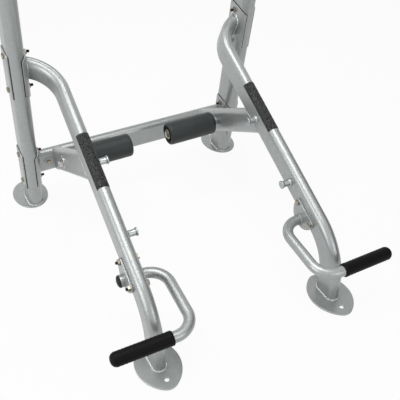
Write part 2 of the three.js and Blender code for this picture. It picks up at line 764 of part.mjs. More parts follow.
function outerNutShape() {
  const nut = outerAxleNut;
  const seat = outerNutSeat + nut.washerThick;
  return join(washer(outerNutSeat, seat, nut.washer, rollerAxle.thread),
    hexNut(seat, seat + nut.thick, nut.acrossFlats, rollerAxle.thread));
}

function innerNutShape() {
  const nut = innerAxleNut;
  const seat = -innerNutSeat - nut.washerThick;
  return join(washer(seat, -innerNutSeat, nut.washer, rollerAxle.thread),
    hexNut(seat - nut.thick, seat, nut.acrossFlats, rollerAxle.thread));
}

// One side of the station
const legCutTool = legClearance();

function addUprightSide(side) {
  const frame = turnedGroup(base, side * uprightX, -uprightSetback, 0, uprightLean);
  addSidePiece(frame, side, 'upright', uprightTubeShape(frame), silverPaint);
  addSidePiece(frame, side, 'upright_cap', uprightCapShape(), blackPlastic, 0, 0, uprightLength + seatGap);
  const foot = floorPlateShape(rearFoot, rearFoot.holeBack);
  addSidePiece(base, side, 'rear_foot', foot, silverPaint, uprightX + rearFoot.outward, rearFoot.back);

  const oneJoint = pairOfBolts(0);
  const inner = withNuts(saddlePlate(innerWrap, saddle.length), saddleFace, oneJoint);
  const outer = mirrored(withBolts(saddlePlate(outerWrap, saddle.length), saddleFace, oneJoint));
  const reach = upperJoint - dipJoint;
  const twoJoints = [-reach / 2, reach / 2].flatMap(pairOfBolts);
  const longPlate = saddlePlate(outerWrap, saddle.length + reach);
  const longOuter = mirrored(withBolts(longPlate, saddleFace, twoJoints));
  const joints = { crossmember: lowerJoint, leg: legJoint, dip_arm: dipJoint, upper_crossmember: upperJoint };
  for (const [name, place] of Object.entries(joints)) {
    addSidePiece(frame, side, `${name}_saddle`, inner, silverPaint, 0, 0, saddlePlace(place));
  }
  const upperPlaces = saddlePlace((dipJoint + upperJoint) / 2);
  addSidePiece(frame, side, 'crossmember_clamp', outer, silverPaint, 0, 0, saddlePlace(lowerJoint));
  addSidePiece(frame, side, 'leg_clamp', outer, silverPaint, 0, 0, saddlePlace(legJoint));
  addSidePiece(frame, side, 'upper_clamp', longOuter, silverPaint, 0, 0, upperPlaces);
}

function addLegSide(side) {
  const frame = turnedGroup(base, side * uprightX, legPlace.y, legPlace.z, legSlope);
  addSidePiece(frame, side, 'front_leg', drilledFrontLeg(), silverPaint);
  const footX = footCentreX + frontFoot.outward;
  const foot = floorPlateShape(frontFoot, -frontFoot.holeForward);
  addSidePiece(base, side, 'front_foot', foot, silverPaint, footX, footCentreY - frontFoot.forward);

  const run = runFrame(frame, side);
  const tapePlace = side > 0 ? tapePlaceRight : tapePlaceLeft;
  addSidePiece(run, side, 'step_tape', tapeShape(), gripTape, 0, -tapePlace);
  addSidePiece(run, side, 'upper_band_peg', pegShape(), brightSteel, 0, -upperPegPlace);
  addSidePiece(run, side, 'lower_band_peg', pegShape(), brightSteel, 0, -lowerPegPlace);

  addSidePiece(run, side, 'handle_plate', innerHandlePlateShape(), silverPaint);
  addSidePiece(run, side, 'handle_clamp', outerHandlePlateShape(), silverPaint);
  addSidePiece(run, side, 'handle_plug', plugShape(), blackPlastic, 0, -handlePlace, -handleDrop);

  const level = turnedGroup(run, 0, -handlePlace, -handleDrop, -legSlope);
  addSidePiece(level, side, 'push_up_handle', handleShape(), silverPaint);
  const grip = gripShape(handleTube, pushUpGrip);
  addSidePiece(level, side, 'push_up_grip', grip, blackRubber, handleEnd, -handleReach, -handleFall);
  return frame;
}

function addStrutSide(side, legFrame) {
  const frame = turnedGroup(base, side * (uprightX - strutInset), crossPlace.y, crossPlace.z - strutDrop,
    Math.PI / 2 - strutRise);
  frame.updateWorldMatrix(true, false);
  legFrame.updateWorldMatrix(true, false);
  const crossCut = crossmemberClearance().translate(0, crossPlace.y, crossPlace.z);
  crossCut.applyMatrix4(base.matrixWorld);
  const toRun = new THREE.Matrix4().makeRotationZ(side * legToe).setPosition(side * runStart.x, 0, 0);
  const legCut = legCutTool.clone().applyMatrix4(toRun).applyMatrix4(legFrame.matrixWorld);
  const strut = strutShape(frame, side, crossCut, legCut);
  addPiece(frame, `${sideName(side)}_strut`, strut, silverPaint);

  const roller = turnedGroup(frame, 0, 0, rollerPlace, strutRise - Math.PI / 2);
  addSidePiece(roller, side, 'roller_axle', axleShape(), brightSteel);
  addSidePiece(roller, side, 'roller_outer_nut', outerNutShape(), zinc);
  addSidePiece(roller, side, 'roller_inner_nut', innerNutShape(), zinc);
  addSidePiece(roller, side, 'roller_sleeve', sleeveShape(), blackPlastic);
  addSidePiece(roller, side, 'foam_roller', foamShape(), greyFoam);
}

function addDipSide(side) {
  const frame = turnedGroup(base, side * uprightX, dipPlace.y, dipPlace.z, 0);
  addSidePiece(frame, side, 'dip_arm', dipArmShape(), silverPaint);
  const grip = gripShape(dipTube, dipGrip).rotateZ(-Math.PI / 2);
  addSidePiece(frame, side, 'dip_grip', grip, blackRubber, -dipInset, -dipReach, 0);
}

function addCrossmembers() {
  const half = uprightX - tubeStart;
  addPiece(base, 'lower_crossmember', crossmemberShape(half), silverPaint, 0, crossPlace.y, crossPlace.z);
  addPiece(base, 'upper_crossmember', crossmemberShape(half), silverPaint, 0, upperPlace.y, upperPlace.z);
}

base.updateWorldMatrix(true, false);
for (const side of [1, -1]) {
  addUprightSide(side);
  const legFrame = addLegSide(side);
  addStrutSide(side, legFrame);
  addDipSide(side);
}
addCrossmembers();

export default station;
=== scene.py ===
# %% [markdown]
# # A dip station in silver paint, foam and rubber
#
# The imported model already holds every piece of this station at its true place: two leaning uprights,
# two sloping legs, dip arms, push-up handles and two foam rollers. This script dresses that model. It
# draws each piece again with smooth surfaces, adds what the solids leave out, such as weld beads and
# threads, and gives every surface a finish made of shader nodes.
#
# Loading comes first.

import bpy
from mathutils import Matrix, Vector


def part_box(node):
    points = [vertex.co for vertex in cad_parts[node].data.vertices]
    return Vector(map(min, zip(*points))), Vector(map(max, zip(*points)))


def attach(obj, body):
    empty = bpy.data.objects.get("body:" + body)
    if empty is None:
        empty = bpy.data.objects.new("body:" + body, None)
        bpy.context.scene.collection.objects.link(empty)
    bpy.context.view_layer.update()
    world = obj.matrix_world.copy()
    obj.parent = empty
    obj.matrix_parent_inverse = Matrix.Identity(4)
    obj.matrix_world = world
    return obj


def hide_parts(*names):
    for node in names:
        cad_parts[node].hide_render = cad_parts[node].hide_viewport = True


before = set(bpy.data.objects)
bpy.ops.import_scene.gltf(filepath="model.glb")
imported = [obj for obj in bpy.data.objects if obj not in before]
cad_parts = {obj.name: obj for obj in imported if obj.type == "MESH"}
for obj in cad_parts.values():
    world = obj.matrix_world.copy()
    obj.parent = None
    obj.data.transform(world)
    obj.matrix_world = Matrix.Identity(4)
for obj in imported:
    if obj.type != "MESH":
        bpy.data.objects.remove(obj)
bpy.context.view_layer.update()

# %% [markdown]
# ## The camera
#
# The camera stands where the photographer stood: to the left of the station, well above it, and
# looking down at it. The pixel focal length was fitted to the photograph, whose frame is 400 pixels
# wide, and a lens follows from it and from the width of Blender's sensor.

# %% Camera
import math

import bmesh
import bpy
from mathutils import Matrix, Vector, noise as field

MM = 0.001
PHOTO_WIDTH = 400
FOCAL_PIXELS = 650.3
CAMERA_PLACE = Vector((-0.768, -1.664, 1.602))
CAMERA_AZIMUTH = math.radians(27.06)
CAMERA_DOWN = math.radians(38.02)


def add_object(name, data):
    made = bpy.data.objects.new(name, data)
    bpy.context.scene.collection.objects.link(made)
    return made


camera_data = bpy.data.cameras.new("photo_camera")
camera_data.lens = FOCAL_PIXELS / PHOTO_WIDTH * camera_data.sensor_width
camera = add_object("photo_camera", camera_data)
camera.location = CAMERA_PLACE
camera.rotation_euler = (math.pi / 2 - CAMERA_DOWN, 0, -CAMERA_AZIMUTH)
bpy.context.scene.camera = camera
print("lens in mm:", round(camera_data.lens, 2))

# %% [markdown]
# ## The driving sizes
#
# These are the sizes that the solids were made from, in millimetres. Only the front floor plates were
# measured once more. A joint's number is how far up the upright its tube sits. The dip arm and the
# upper crossmember share one long outer plate, so the arm's place is counted down from the
# crossmember's.

# %% Sizes that place the pieces
SEAT_GAP = 0.3
UPRIGHT_ACROSS = 56
UPRIGHT_DEEP = 106
UPRIGHT_LENGTH = 1545
UPRIGHT_X = 423
UPRIGHT_SETBACK = 23
LEAN = math.radians(12.28)
TUBE_ACROSS = 41
TUBE_DEEP = 91
REAR_FOOT = {"wide": 134, "long": 190, "thick": 6, "hole": 13, "hole_x": -6, "hole_y": 64}
REAR_FOOT_BACK = 9
FRONT_FOOT = {"wide": 141, "long": 200, "thick": 6, "hole": 15, "hole_x": 0, "hole_y": -65}

SADDLE_THICK = 4
SADDLE_LENGTH = 180
SADDLE_INSIDE = UPRIGHT_ACROSS / 2 + SEAT_GAP
SADDLE_FACE = SADDLE_INSIDE + SADDLE_THICK
TUBE_START = SADDLE_FACE + SEAT_GAP
TOP_TO_JOINT = 95
JOINT_SPACE = 12
upper_joint = UPRIGHT_LENGTH - TOP_TO_JOINT
JOINTS = {"crossmember": 200, "leg": 644, "dip_arm": upper_joint - SADDLE_LENGTH - JOINT_SPACE,
          "upper_crossmember": upper_joint}
print("joints up the upright, in mm:", JOINTS)

# %% [markdown]
# ## Frames of reference
#
# Each piece is drawn in millimetres near its own origin, and a frame of reference then carries it to
# its place in metres. The frames are nested as the real joints are: the push-up handle belongs to the
# leg's straight run, and the run belongs to the leg's joint on the upright. A change of one slope then
# moves everything that hangs on it.

# %% Frames of reference
LEG_SLOPE = math.radians(28.45)
LEG_TOE = math.radians(0.65)
LEG_INSET = 117
HANDLE_PLACE = 780
HANDLE_DROP = 53
STRUT_RISE = math.radians(27.8)
STRUT_DROP = 7
STRUT_INSET = 112
ROLLER_PLACE = 192


def spot(x=0.0, y=0.0, z=0.0, about_x=0.0, about_z=0.0):
    turn = Matrix.Rotation(about_x, 4, "X") @ Matrix.Rotation(about_z, 4, "Z")
    return Matrix.Translation((x, y, z)) @ turn


def upright_spot(along):
    return -UPRIGHT_SETBACK - along * math.sin(LEAN), along * math.cos(LEAN)


foot_low, foot_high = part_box("right_rear_foot")
base_y = (foot_low.y + foot_high.y) / 2 / MM - REAR_FOOT_BACK
cross_y, cross_z = upright_spot(JOINTS["crossmember"])
upper_y, upper_z = upright_spot(JOINTS["upper_crossmember"])
leg_y, leg_z = upright_spot(JOINTS["leg"])
dip_y, dip_z = upright_spot(JOINTS["dip_arm"])

BASE = Matrix.Scale(MM, 4) @ Matrix.Translation((0, base_y, 0))
UPRIGHT = BASE @ spot(UPRIGHT_X, -UPRIGHT_SETBACK, 0, LEAN)
DIP = BASE @ spot(UPRIGHT_X, dip_y, dip_z)
LEG = BASE @ spot(UPRIGHT_X, leg_y, leg_z, LEG_SLOPE)
RUN = LEG @ spot(-LEG_INSET, 0, 0, 0, LEG_TOE)
LEVEL = RUN @ spot(0, -HANDLE_PLACE, -HANDLE_DROP, -LEG_SLOPE)
STRUT = BASE @ spot(UPRIGHT_X - STRUT_INSET, cross_y, cross_z - STRUT_DROP, math.pi / 2 - STRUT_RISE)
ROLLER = STRUT @ spot(0, 0, ROLLER_PLACE, STRUT_RISE - math.pi / 2)
print("base is moved back by", round(base_y, 2), "mm")

# %% [markdown]
# ## Work on a mesh
#
# Real metal and rubber have no stray points and no facets on their rounds. So each mesh gets the same
# care: doubled points are merged, faces are turned outwards, and an edge is shaded smooth where its
# two faces meet at a small angle and stays crisp where they don't. Angles are in degrees, lengths in
# millimetres.

# %% Helpers that work on a mesh
MERGE = 0.01
CRISP = 35.0


def new_mesh(vertices, faces, name="shape"):
    mesh = bpy.data.meshes.new(name)
    mesh.from_pydata([tuple(v) for v in vertices], [], faces)
    return mesh


def edit(mesh, change):
    work = bmesh.new()
    work.from_mesh(mesh)
    change(work)
    work.to_mesh(mesh)
    work.free()
    return mesh


def tidy(mesh, crisp=CRISP, outward=True):
    def change(work):
        bmesh.ops.remove_doubles(work, verts=work.verts, dist=MERGE)
        if outward:
            bmesh.ops.recalc_face_normals(work, faces=work.faces)
        for face in work.faces:
            face.smooth = True
        for edge in work.edges:
            edge.smooth = edge.calc_face_angle(0.0) < math.radians(crisp)
    return edit(mesh, change)


def flipped(mesh, matrix):
    copy = mesh.copy()
    copy.transform(matrix)
    copy.flip_normals()
    return copy


print("points closer than", MERGE, "mm are merged, and edges sharper than", CRISP, "degrees stay crisp")

# %% [markdown]
# ## Modifiers made real
#
# Solidify and Bevel save much drawing by hand. Each is put on a short-lived object, the evaluated
# object is copied to a plain mesh, and the object goes away. What is left has no live modifier, so it
# can be moved and mirrored as any other mesh.

# %% Helpers that make modifiers real
BEVEL_FROM = 50.0


def plain_mesh(holder):
    graph = bpy.context.evaluated_depsgraph_get()
    made = bpy.data.meshes.new_from_object(holder.evaluated_get(graph), depsgraph=graph)
    bpy.data.objects.remove(holder)
    return made


def with_modifier(mesh, kind, **settings):
    holder = add_object("holder", mesh)
    modifier = holder.modifiers.new(kind, kind)
    for key, value in settings.items():
        setattr(modifier, key, value)
    return plain_mesh(holder)


def rounded_edges(mesh, width):
    return with_modifier(mesh, "BEVEL", width=width, segments=2, limit_method="ANGLE",
                         angle_limit=math.radians(BEVEL_FROM))


print("edges sharper than", BEVEL_FROM, "degrees can be rounded")

# %% [markdown]
# ## Adding a piece
#
# A finished piece is a plain mesh whose object sits at the origin, because that is where the model's
# own nodes sit and where a pattern on object coordinates stays still. The right-hand piece is drawn
# once. Its twin is the mirror image, and mirroring turns a shape inside out, so the faces of the twin
# are flipped back.

# %% Helpers that add a piece or a pair
SIDES = ((1, "right"), (-1, "left"))
MIRROR = Matrix.Scale(-1, 4, (1, 0, 0))
finishes = {}
counts = {"pieces": 0, "triangles": 0}


def add_piece(name, mesh, finish, nodes=(), body="frame"):
    mesh.name = name
    mesh.materials.clear()
    mesh.materials.append(finishes[finish])
    for polygon in mesh.polygons:
        polygon.material_index = 0
    piece = add_object(name, mesh)
    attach(piece, body)
    if nodes:
        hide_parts(*nodes)
    mesh.calc_loop_triangles()
    counts["pieces"] += 1
    counts["triangles"] += len(mesh.loop_triangles)
    return piece


def add_pair(name, mesh, place, finish, node=None, body="frame"):
    made = []
    for side, word in SIDES:
        copy = mesh.copy()
        copy.transform(place)
        if side < 0:
            copy = flipped(copy, MIRROR)
        nodes = [f"{word}_{node}"] if node else []
        home = body if body == "frame" else f"{word}_{body}"
        made.append(add_piece(f"{word}_{name}", copy, finish, nodes, home))
    print(name, len(mesh.polygons), "faces")
    return made


print("each pair has a", " and a ".join(word for _, word in SIDES), "piece")

# %% [markdown]
# ## Helpers for shader nodes
#
# An effect that several finishes share is built once, as a node group with named inputs, and each
# material places it with its own values. A few helpers keep that readable: one makes the group, one
# adds a Math node, and two add noise. The noise reads object coordinates, so the pattern stays on the
# foam when a roller turns.

# %% Helpers that build shader groups
NUMBER, COLOUR, ARROW = "NodeSocketFloat", "NodeSocketColor", "NodeSocketVector"
MIDDLE = 0.5


def shader_group(name, inputs, outputs):
    group = bpy.data.node_groups.new(name, "ShaderNodeTree")
    for label, kind, value in inputs:
        socket = group.interface.new_socket(label, in_out="INPUT", socket_type=kind)
        socket.default_value = value
    for label, kind in outputs:
        group.interface.new_socket(label, in_out="OUTPUT", socket_type=kind)
    return group, group.nodes.new("NodeGroupInput"), group.nodes.new("NodeGroupOutput")


def math_node(tree, operation, first, second):
    node = tree.nodes.new("ShaderNodeMath")
    node.operation = operation
    for socket, value in zip(node.inputs, (first, second)):
        if isinstance(value, (int, float)):
            socket.default_value = value
        else:
            tree.links.new(value, socket)
    return node.outputs[0]


def noise(group, scale, detail):
    place = group.nodes.new("ShaderNodeTexCoord")
    texture = group.nodes.new("ShaderNodeTexNoise")
    texture.inputs["Detail"].default_value = detail
    group.links.new(place.outputs["Object"], texture.inputs["Vector"])
    group.links.new(scale, texture.inputs["Scale"])
    return texture.outputs["Fac"]


def swing(group, scale, detail, amount):
    about_zero = math_node(group, "SUBTRACT", noise(group, scale, detail), MIDDLE)
    return math_node(group, "MULTIPLY", about_zero, amount)


print("noise runs from 0 to 1, so it swings about", MIDDLE)

# %% [markdown]
# ## A shader group for uneven colour
#
# Real surfaces are never one flat colour: they carry broad, faint patches and a fine grain. This
# group mixes both into a colour and a roughness, and where the colour is lighter the surface is a
# little glossier.

# %% Shader group: varied surface
PATCH_DETAIL = 3.0
GRAIN_DETAIL = 1.0

varied, taken, given = shader_group(
    "varied_surface",
    [("Color", COLOUR, (0.5, 0.5, 0.5, 1)), ("Roughness", NUMBER, 0.4), ("Patch scale", NUMBER, 9.0),
     ("Patches", NUMBER, 0.06), ("Grain scale", NUMBER, 900.0), ("Grain", NUMBER, 0.08)],
    [("Color", COLOUR), ("Roughness", NUMBER)])
patches = swing(varied, taken.outputs["Patch scale"], PATCH_DETAIL, taken.outputs["Patches"])
grains = swing(varied, taken.outputs["Grain scale"], GRAIN_DETAIL, taken.outputs["Grain"])
both = math_node(varied, "ADD", math_node(varied, "ADD", patches, grains), 1.0)
shade = varied.nodes.new("ShaderNodeVectorMath")
shade.operation = "SCALE"
varied.links.new(taken.outputs["Color"], shade.inputs[0])
varied.links.new(both, shade.inputs["Scale"])
varied.links.new(shade.outputs[0], given.inputs["Color"])
glossier = math_node(varied, "SUBTRACT", 2.0, both)
roughness = math_node(varied, "MULTIPLY", taken.outputs["Roughness"], glossier)
varied.links.new(roughness, given.inputs["Roughness"])
print(varied.name, "has", len(varied.nodes), "nodes")

# %% [markdown]
# ## A shader group for fine relief
#
# Orange peel in paint, pores in foam and grit on tape are all too fine to model. This group turns
# noise into a bumped normal, at a depth given in metres, so the light breaks up on the surface while
# the outline stays clean.

# %% Shader group: fine bump
BUMP_DETAIL = 2.0

bumped, taken, given = shader_group(
    "fine_bump", [("Scale", NUMBER, 800.0), ("Depth", NUMBER, 0.0001)], [("Normal", ARROW)])
bump = bumped.nodes.new("ShaderNodeBump")
bumped.links.new(taken.outputs["Depth"], bump.inputs["Distance"])
bumped.links.new(noise(bumped, taken.outputs["Scale"], BUMP_DETAIL), bump.inputs["Height"])
bumped.links.new(bump.outputs["Normal"], given.inputs["Normal"])
print(bumped.name, "has", len(bumped.nodes), "nodes")

# %% [markdown]
# ## Paint and metal
#
# The frame has a silver paint with metal flakes in it, baked on over the welds. It is neither mirror
# nor matt, so its shader is partly metallic with a middling roughness, a fleck in its colour and the
# faint ripple that painters call orange peel. The paint lies brighter on the weld beads. The bolts are
# zinc plated with a straw-coloured tint, the outer axle nuts are plated clear, and the threads of the
# bolts are nearly black. A plain number goes to the shader's own socket, and only what changes over
# the surface comes from a group.

# %% Finishes of paint and metal
def finish(name, slot, colour, roughness, metallic=0.0, patches=0.06, patch_scale=9.0, grain=0.08,
           grain_scale=900.0, bump_scale=800.0, bump_depth=0.0, **sockets):
    material = bpy.data.materials.new(name)
    material.use_nodes = True
    tree = material.node_tree
    shader = tree.nodes["Principled BSDF"]
    shader.inputs["Metallic"].default_value = metallic
    for key, value in sockets.items():
        shader.inputs[key.replace("_", " ")].default_value = value
    look = tree.nodes.new("ShaderNodeGroup")
    look.node_tree = varied
    values = {"Color": (*colour, 1), "Roughness": roughness, "Patch scale": patch_scale,
              "Patches": patches, "Grain scale": grain_scale, "Grain": grain}
    for key, value in values.items():
        look.inputs[key].default_value = value
    tree.links.new(look.outputs["Color"], shader.inputs["Base Color"])
    tree.links.new(look.outputs["Roughness"], shader.inputs["Roughness"])
    if bump_depth:
        relief = tree.nodes.new("ShaderNodeGroup")
        relief.node_tree = bumped
        relief.inputs["Scale"].default_value = bump_scale
        relief.inputs["Depth"].default_value = bump_depth
        tree.links.new(relief.outputs["Normal"], shader.inputs["Normal"])
    finishes[name] = material


finish("silver_paint", "silver_paint", colour=(0.376, 0.393, 0.39), roughness=0.34, metallic=0.55,
       patches=0.18, patch_scale=55.0, grain=0.6, grain_scale=560.0, bump_scale=420.0, bump_depth=0.00005)
finish("weld_paint", "silver_paint", colour=(0.56, 0.575, 0.57), roughness=0.25, metallic=0.5,
       patches=0.12, grain=0.3, bump_scale=500.0, bump_depth=0.0002)
finish("peg_steel", "bright_steel", colour=(0.42, 0.44, 0.44), roughness=0.3, metallic=0.85,
       patches=0.08, grain=0.1, grain_scale=1500.0, bump_scale=900.0, bump_depth=0.00004)
finish("zinc_plate", "zinc_plate", colour=(0.34, 0.30, 0.24), roughness=0.25, metallic=0.9, patches=0.8,
       patch_scale=210.0, grain=0.2, grain_scale=1500.0, bump_scale=900.0, bump_depth=0.00004)
finish("clear_zinc", "zinc_plate", colour=(0.6, 0.6, 0.585), roughness=0.16, metallic=0.95, patches=0.6,
       patch_scale=210.0, grain=0.2, grain_scale=1500.0, bump_scale=300.0, bump_depth=0.0001)
finish("dark_thread", "zinc_plate", colour=(0.03, 0.028, 0.025), roughness=0.45, metallic=0.5,
       patches=0.3, patch_scale=200.0, grain=0.1, grain_scale=1500.0, Specular_IOR_Level=0.2)
print("metal finishes:", ", ".join(finishes))

# %% [markdown]
# ## Plastic, rubber, foam and grit
#
# Caps and plugs are hard black plastic and the grips are softer rubber with less sheen. The foam has
# a dull, faintly green skin with pores. Where a knife cut it off it is rougher and darker, partly of
# its own and partly as painted shade for the shadowed end faces. The step tape is coated with grit: a
# deep bump and strong, coarse noise in its colour, whose dark mottle is the grit's own and whose light
# specks are painted glints off the grit. The dark film is painted shade: a near-black sheet that
# draws the shadow line in the gap round a bolted plate.

# %% Finishes of plastic, rubber, foam and grit
finish("black_plastic", "black_plastic", colour=(0.008, 0.008, 0.008), roughness=0.45, patches=0.1,
       grain=0.2, grain_scale=1800.0, bump_scale=1500.0, bump_depth=0.00006, Specular_IOR_Level=0.2)
finish("black_rubber", "black_rubber", colour=(0.004, 0.004, 0.0042), roughness=0.5, patches=0.12,
       grain=0.3, grain_scale=1200.0, bump_scale=700.0, bump_depth=0.0002, Specular_IOR_Level=0.09)
finish("grey_foam", "grey_foam", colour=(0.019, 0.0235, 0.0235), roughness=0.5, patches=0.25,
       grain=0.5, grain_scale=1000.0, bump_scale=900.0, bump_depth=0.0002, Specular_IOR_Level=0.45)
# Cut foam: rougher, and darker partly of its own and partly as painted shade for the shadowed ends.
finish("shaded_cut_foam", "grey_foam", colour=(0.007, 0.008, 0.008), roughness=0.8, patches=0.4,
       grain=0.6, grain_scale=1000.0, bump_scale=700.0, bump_depth=0.0006, Specular_IOR_Level=0.1)
# The dark film is painted shade: a near-black sheet for the shadow line in the gap round each plate.
finish("shadow_film", "black_plastic", colour=(0.006, 0.006, 0.006), roughness=0.7, patches=0.2,
       grain=0.2, bump_scale=900.0, bump_depth=0.00005, Specular_IOR_Level=0.1)
# The tape's dark mottle is the grit's own, and its strong light specks are painted glints off the grit.
finish("grip_tape", "grip_tape", colour=(0.03, 0.031, 0.031), roughness=0.6, patches=13.0,
       patch_scale=380.0, grain=3.4, grain_scale=600.0, bump_scale=420.0, bump_depth=0.0016,
       Specular_IOR_Level=0.25)

# %% [markdown]
# ## Tubes, swept by Geometry Nodes
#
# Every tube is one section carried along one route: flat-oval tube for the frame, and round tube for
# the dip arms and the push-up handles. A flat oval is a rectangle whose corners are filleted until
# the short sides are half circles, and a round tube is the same with equal sides. So one node tree
# makes them all, with the two widths as its inputs. Every geometry tree here ends in the same way:
# instances are made real, because an exported model has none, and then the material is set.

# %% A node tree for tubes
def geometry_tree(name, inputs):
    tree = bpy.data.node_groups.new(name, "GeometryNodeTree")
    tree.interface.new_socket("Geometry", in_out="INPUT", socket_type="NodeSocketGeometry")
    for label, kind, value in inputs:
        socket = tree.interface.new_socket(label, in_out="INPUT", socket_type=kind)
        if value is not None:
            socket.default_value = value
    tree.interface.new_socket("Geometry", in_out="OUTPUT", socket_type="NodeSocketGeometry")
    return tree, tree.nodes.new("NodeGroupInput"), tree.nodes.new("NodeGroupOutput")


def add_node(tree, kind, settings=None, **inputs):
    node = tree.nodes.new(kind)
    for key, value in (settings or {}).items():
        setattr(node, key, value)
    for key, value in inputs.items():
        socket = node.inputs[key.replace("_", " ")]
        if isinstance(value, bpy.types.NodeSocket):
            tree.links.new(value, socket)
        else:
            socket.default_value = value
    return node


def end_tree(tree, shape, taken, given):
    real = add_node(tree, "GeometryNodeRealizeInstances", Geometry=shape.outputs[0])
    coated = add_node(tree, "GeometryNodeSetMaterial", Geometry=real.outputs[0],
                      Material=taken.outputs["Material"])
    tree.links.new(coated.outputs[0], given.inputs[0])
    print(tree.name, "has", len(tree.nodes), "nodes")


tube_tree, taken, given = geometry_tree("swept_tube", [
    ("Level width", NUMBER, 91.0), ("Upright width", NUMBER, 41.0), ("Corner radius", NUMBER, 20.0),
    ("Corner points", "NodeSocketInt", 12), ("Material", "NodeSocketMaterial", None)])
section = add_node(tube_tree, "GeometryNodeCurvePrimitiveQuadrilateral",
                   Width=taken.outputs["Level width"], Height=taken.outputs["Upright width"])
fillet = add_node(tube_tree, "GeometryNodeFilletCurve", {"mode": "POLY"}, Curve=section.outputs[0],
                  Count=taken.outputs["Corner points"], Radius=taken.outputs["Corner radius"])
carried = add_node(tube_tree, "GeometryNodeCurveToMesh", Curve=taken.outputs["Geometry"],
                   Profile_Curve=fillet.outputs[0], Fill_Caps=True)
end_tree(tube_tree, carried, taken, given)

# %% [markdown]
# ## Routes for the tubes
#
# A route has points only where it bends. At each corner it follows an arc of the bend's radius, cut
# into steps of a few degrees, because a real tube is drawn round a former and never kinks. The
# section's corners are rounded by a hair less than half its width, so that two fillets never meet in
# one point. A tube that is longer than needed is sawn off flat, and the cut is closed.

# %% Helpers that run a tree, bend a route and saw a tube
NEARLY_ROUND = 0.4999
BEND_STEP = 3.0


def run_tree(tree, data, **inputs):
    holder = add_object("holder", data)
    modifier = holder.modifiers.new("tree", "NODES")
    modifier.node_group = tree
    sockets = {item.name: item.identifier for item in tree.interface.items_tree if item.in_out == "INPUT"}
    for key, value in inputs.items():
        modifier[sockets[key.replace("_", " ")]] = value
    return plain_mesh(holder)


def poly_curve(routes, closed=False):
    data = bpy.data.curves.new("route", "CURVE")
    data.dimensions = "3D"
    for route in routes:
        spline = data.splines.new("POLY")
        spline.points.add(len(route) - 1)
        for point, place in zip(spline.points, route):
            point.co = (*place, 1)
        spline.use_cyclic_u = closed
    return data


def tube(route, level, upright, corner_points=12):
    mesh = run_tree(tube_tree, poly_curve([route]), Level_width=float(level), Upright_width=float(upright),
                    Corner_radius=min(level, upright) * NEARLY_ROUND, Corner_points=corner_points)
    return tidy(mesh)


def bent(corners, radii, step=BEND_STEP):
    points = [Vector(corners[0])]
    for before, corner, after, radius in zip(corners, corners[1:], corners[2:], radii):
        arriving = (Vector(corner) - Vector(before)).normalized()
        leaving = (Vector(after) - Vector(corner)).normalized()
        turn = arriving.angle(leaving)
        axis = arriving.cross(leaving).normalized()
        start = Vector(corner) - arriving * radius * math.tan(turn / 2)
        centre = start + axis.cross(arriving) * radius
        pieces = max(2, round(turn / math.radians(step)))
        for i in range(pieces + 1):
            points.append(centre + Matrix.Rotation(turn * i / pieces, 3, axis) @ (start - centre))
    points.append(Vector(corners[-1]))
    return points


def cut_flat(mesh, point, away):
    def change(work):
        geometry = work.verts[:] + work.edges[:] + work.faces[:]
        bmesh.ops.bisect_plane(work, geom=geometry, plane_co=point, plane_no=away, clear_outer=True)
        bmesh.ops.holes_fill(work, edges=[e for e in work.edges if e.is_boundary], sides=0)
    return tidy(edit(mesh, change))


print("a right-angled bend has", round(90 / BEND_STEP), "steps")

# %% [markdown]
# ## The uprights
#
# The uprights lean towards the user and their lower ends are sawn level with the floor. So each is
# drawn a little too long along its own slope, and cut by a plane that is turned back by the lean.

# %% Uprights
SAW_OFF = 100

to_floor = Matrix.Rotation(-LEAN, 3, "X")
upright_tube = tube([(0, 0, -SAW_OFF), (0, 0, UPRIGHT_LENGTH)], UPRIGHT_ACROSS, UPRIGHT_DEEP,
                    corner_points=20)
upright_tube = cut_flat(upright_tube, to_floor @ Vector((0, 0, REAR_FOOT["thick"])),
                        to_floor @ Vector((0, 0, -1)))
add_pair("upright_tube", upright_tube, UPRIGHT, "silver_paint", "upright")

# %% [markdown]
# ## The legs' route
#
# Each front leg swings out of its joint, runs down a slope and bends down to its foot. The four
# corners of that route follow from the slope, the swing and the run's length. The last corner is where
# the tube meets its floor plate, and the first lies inside the joint, where the tube is cut off later.

# %% Route of a leg
LEG_SWING = math.radians(60)
LEG_TURN = 144
FOOT_TURN = 183
LEG_RUN = 936
LEG_BEND_STEP = 2.5

run_start = Vector((-LEG_INSET, 0, 0))
leg_heading = Vector((math.sin(LEG_TOE), -math.cos(LEG_TOE), 0))
swing_heading = Vector((math.sin(LEG_SWING), math.cos(LEG_SWING), 0))
swing_corner = run_start + leg_heading * ((LEG_INSET - TUBE_START) / math.tan(LEG_SWING))
foot_corner = run_start + leg_heading * LEG_RUN
foot_corner_z = leg_z - LEG_RUN * math.cos(LEG_TOE) * math.sin(LEG_SLOPE)
down = Vector((0, -math.sin(LEG_SLOPE), -math.cos(LEG_SLOPE)))
ankle = foot_corner + down * (foot_corner_z - FRONT_FOOT["thick"])
to_face = (-TUBE_START - swing_corner.x) / math.sin(LEG_SWING)
past_face = swing_corner + swing_heading * (to_face + TUBE_ACROSS)
leg_route = bent([past_face, swing_corner, foot_corner, ankle], [LEG_TURN, FOOT_TURN], LEG_BEND_STEP)
print("points on a leg's route:", len(leg_route))

# %% [markdown]
# ## The legs, with drawn marks
#
# Drawing a tall tube round a former leaves long, shallow marks along the top of the bend, and they
# catch the light in bright and dark streaks. Here a cosine round the tube presses them into the
# finished mesh, and they fade out along the bend and down the tube's sides.

# %% Legs
MARK_DEPTH = 0.95
MARK_WAVES = 15
MARK_FADE = 0.4
MARKS_END = 1.9
MARK_SLACK = 0.01


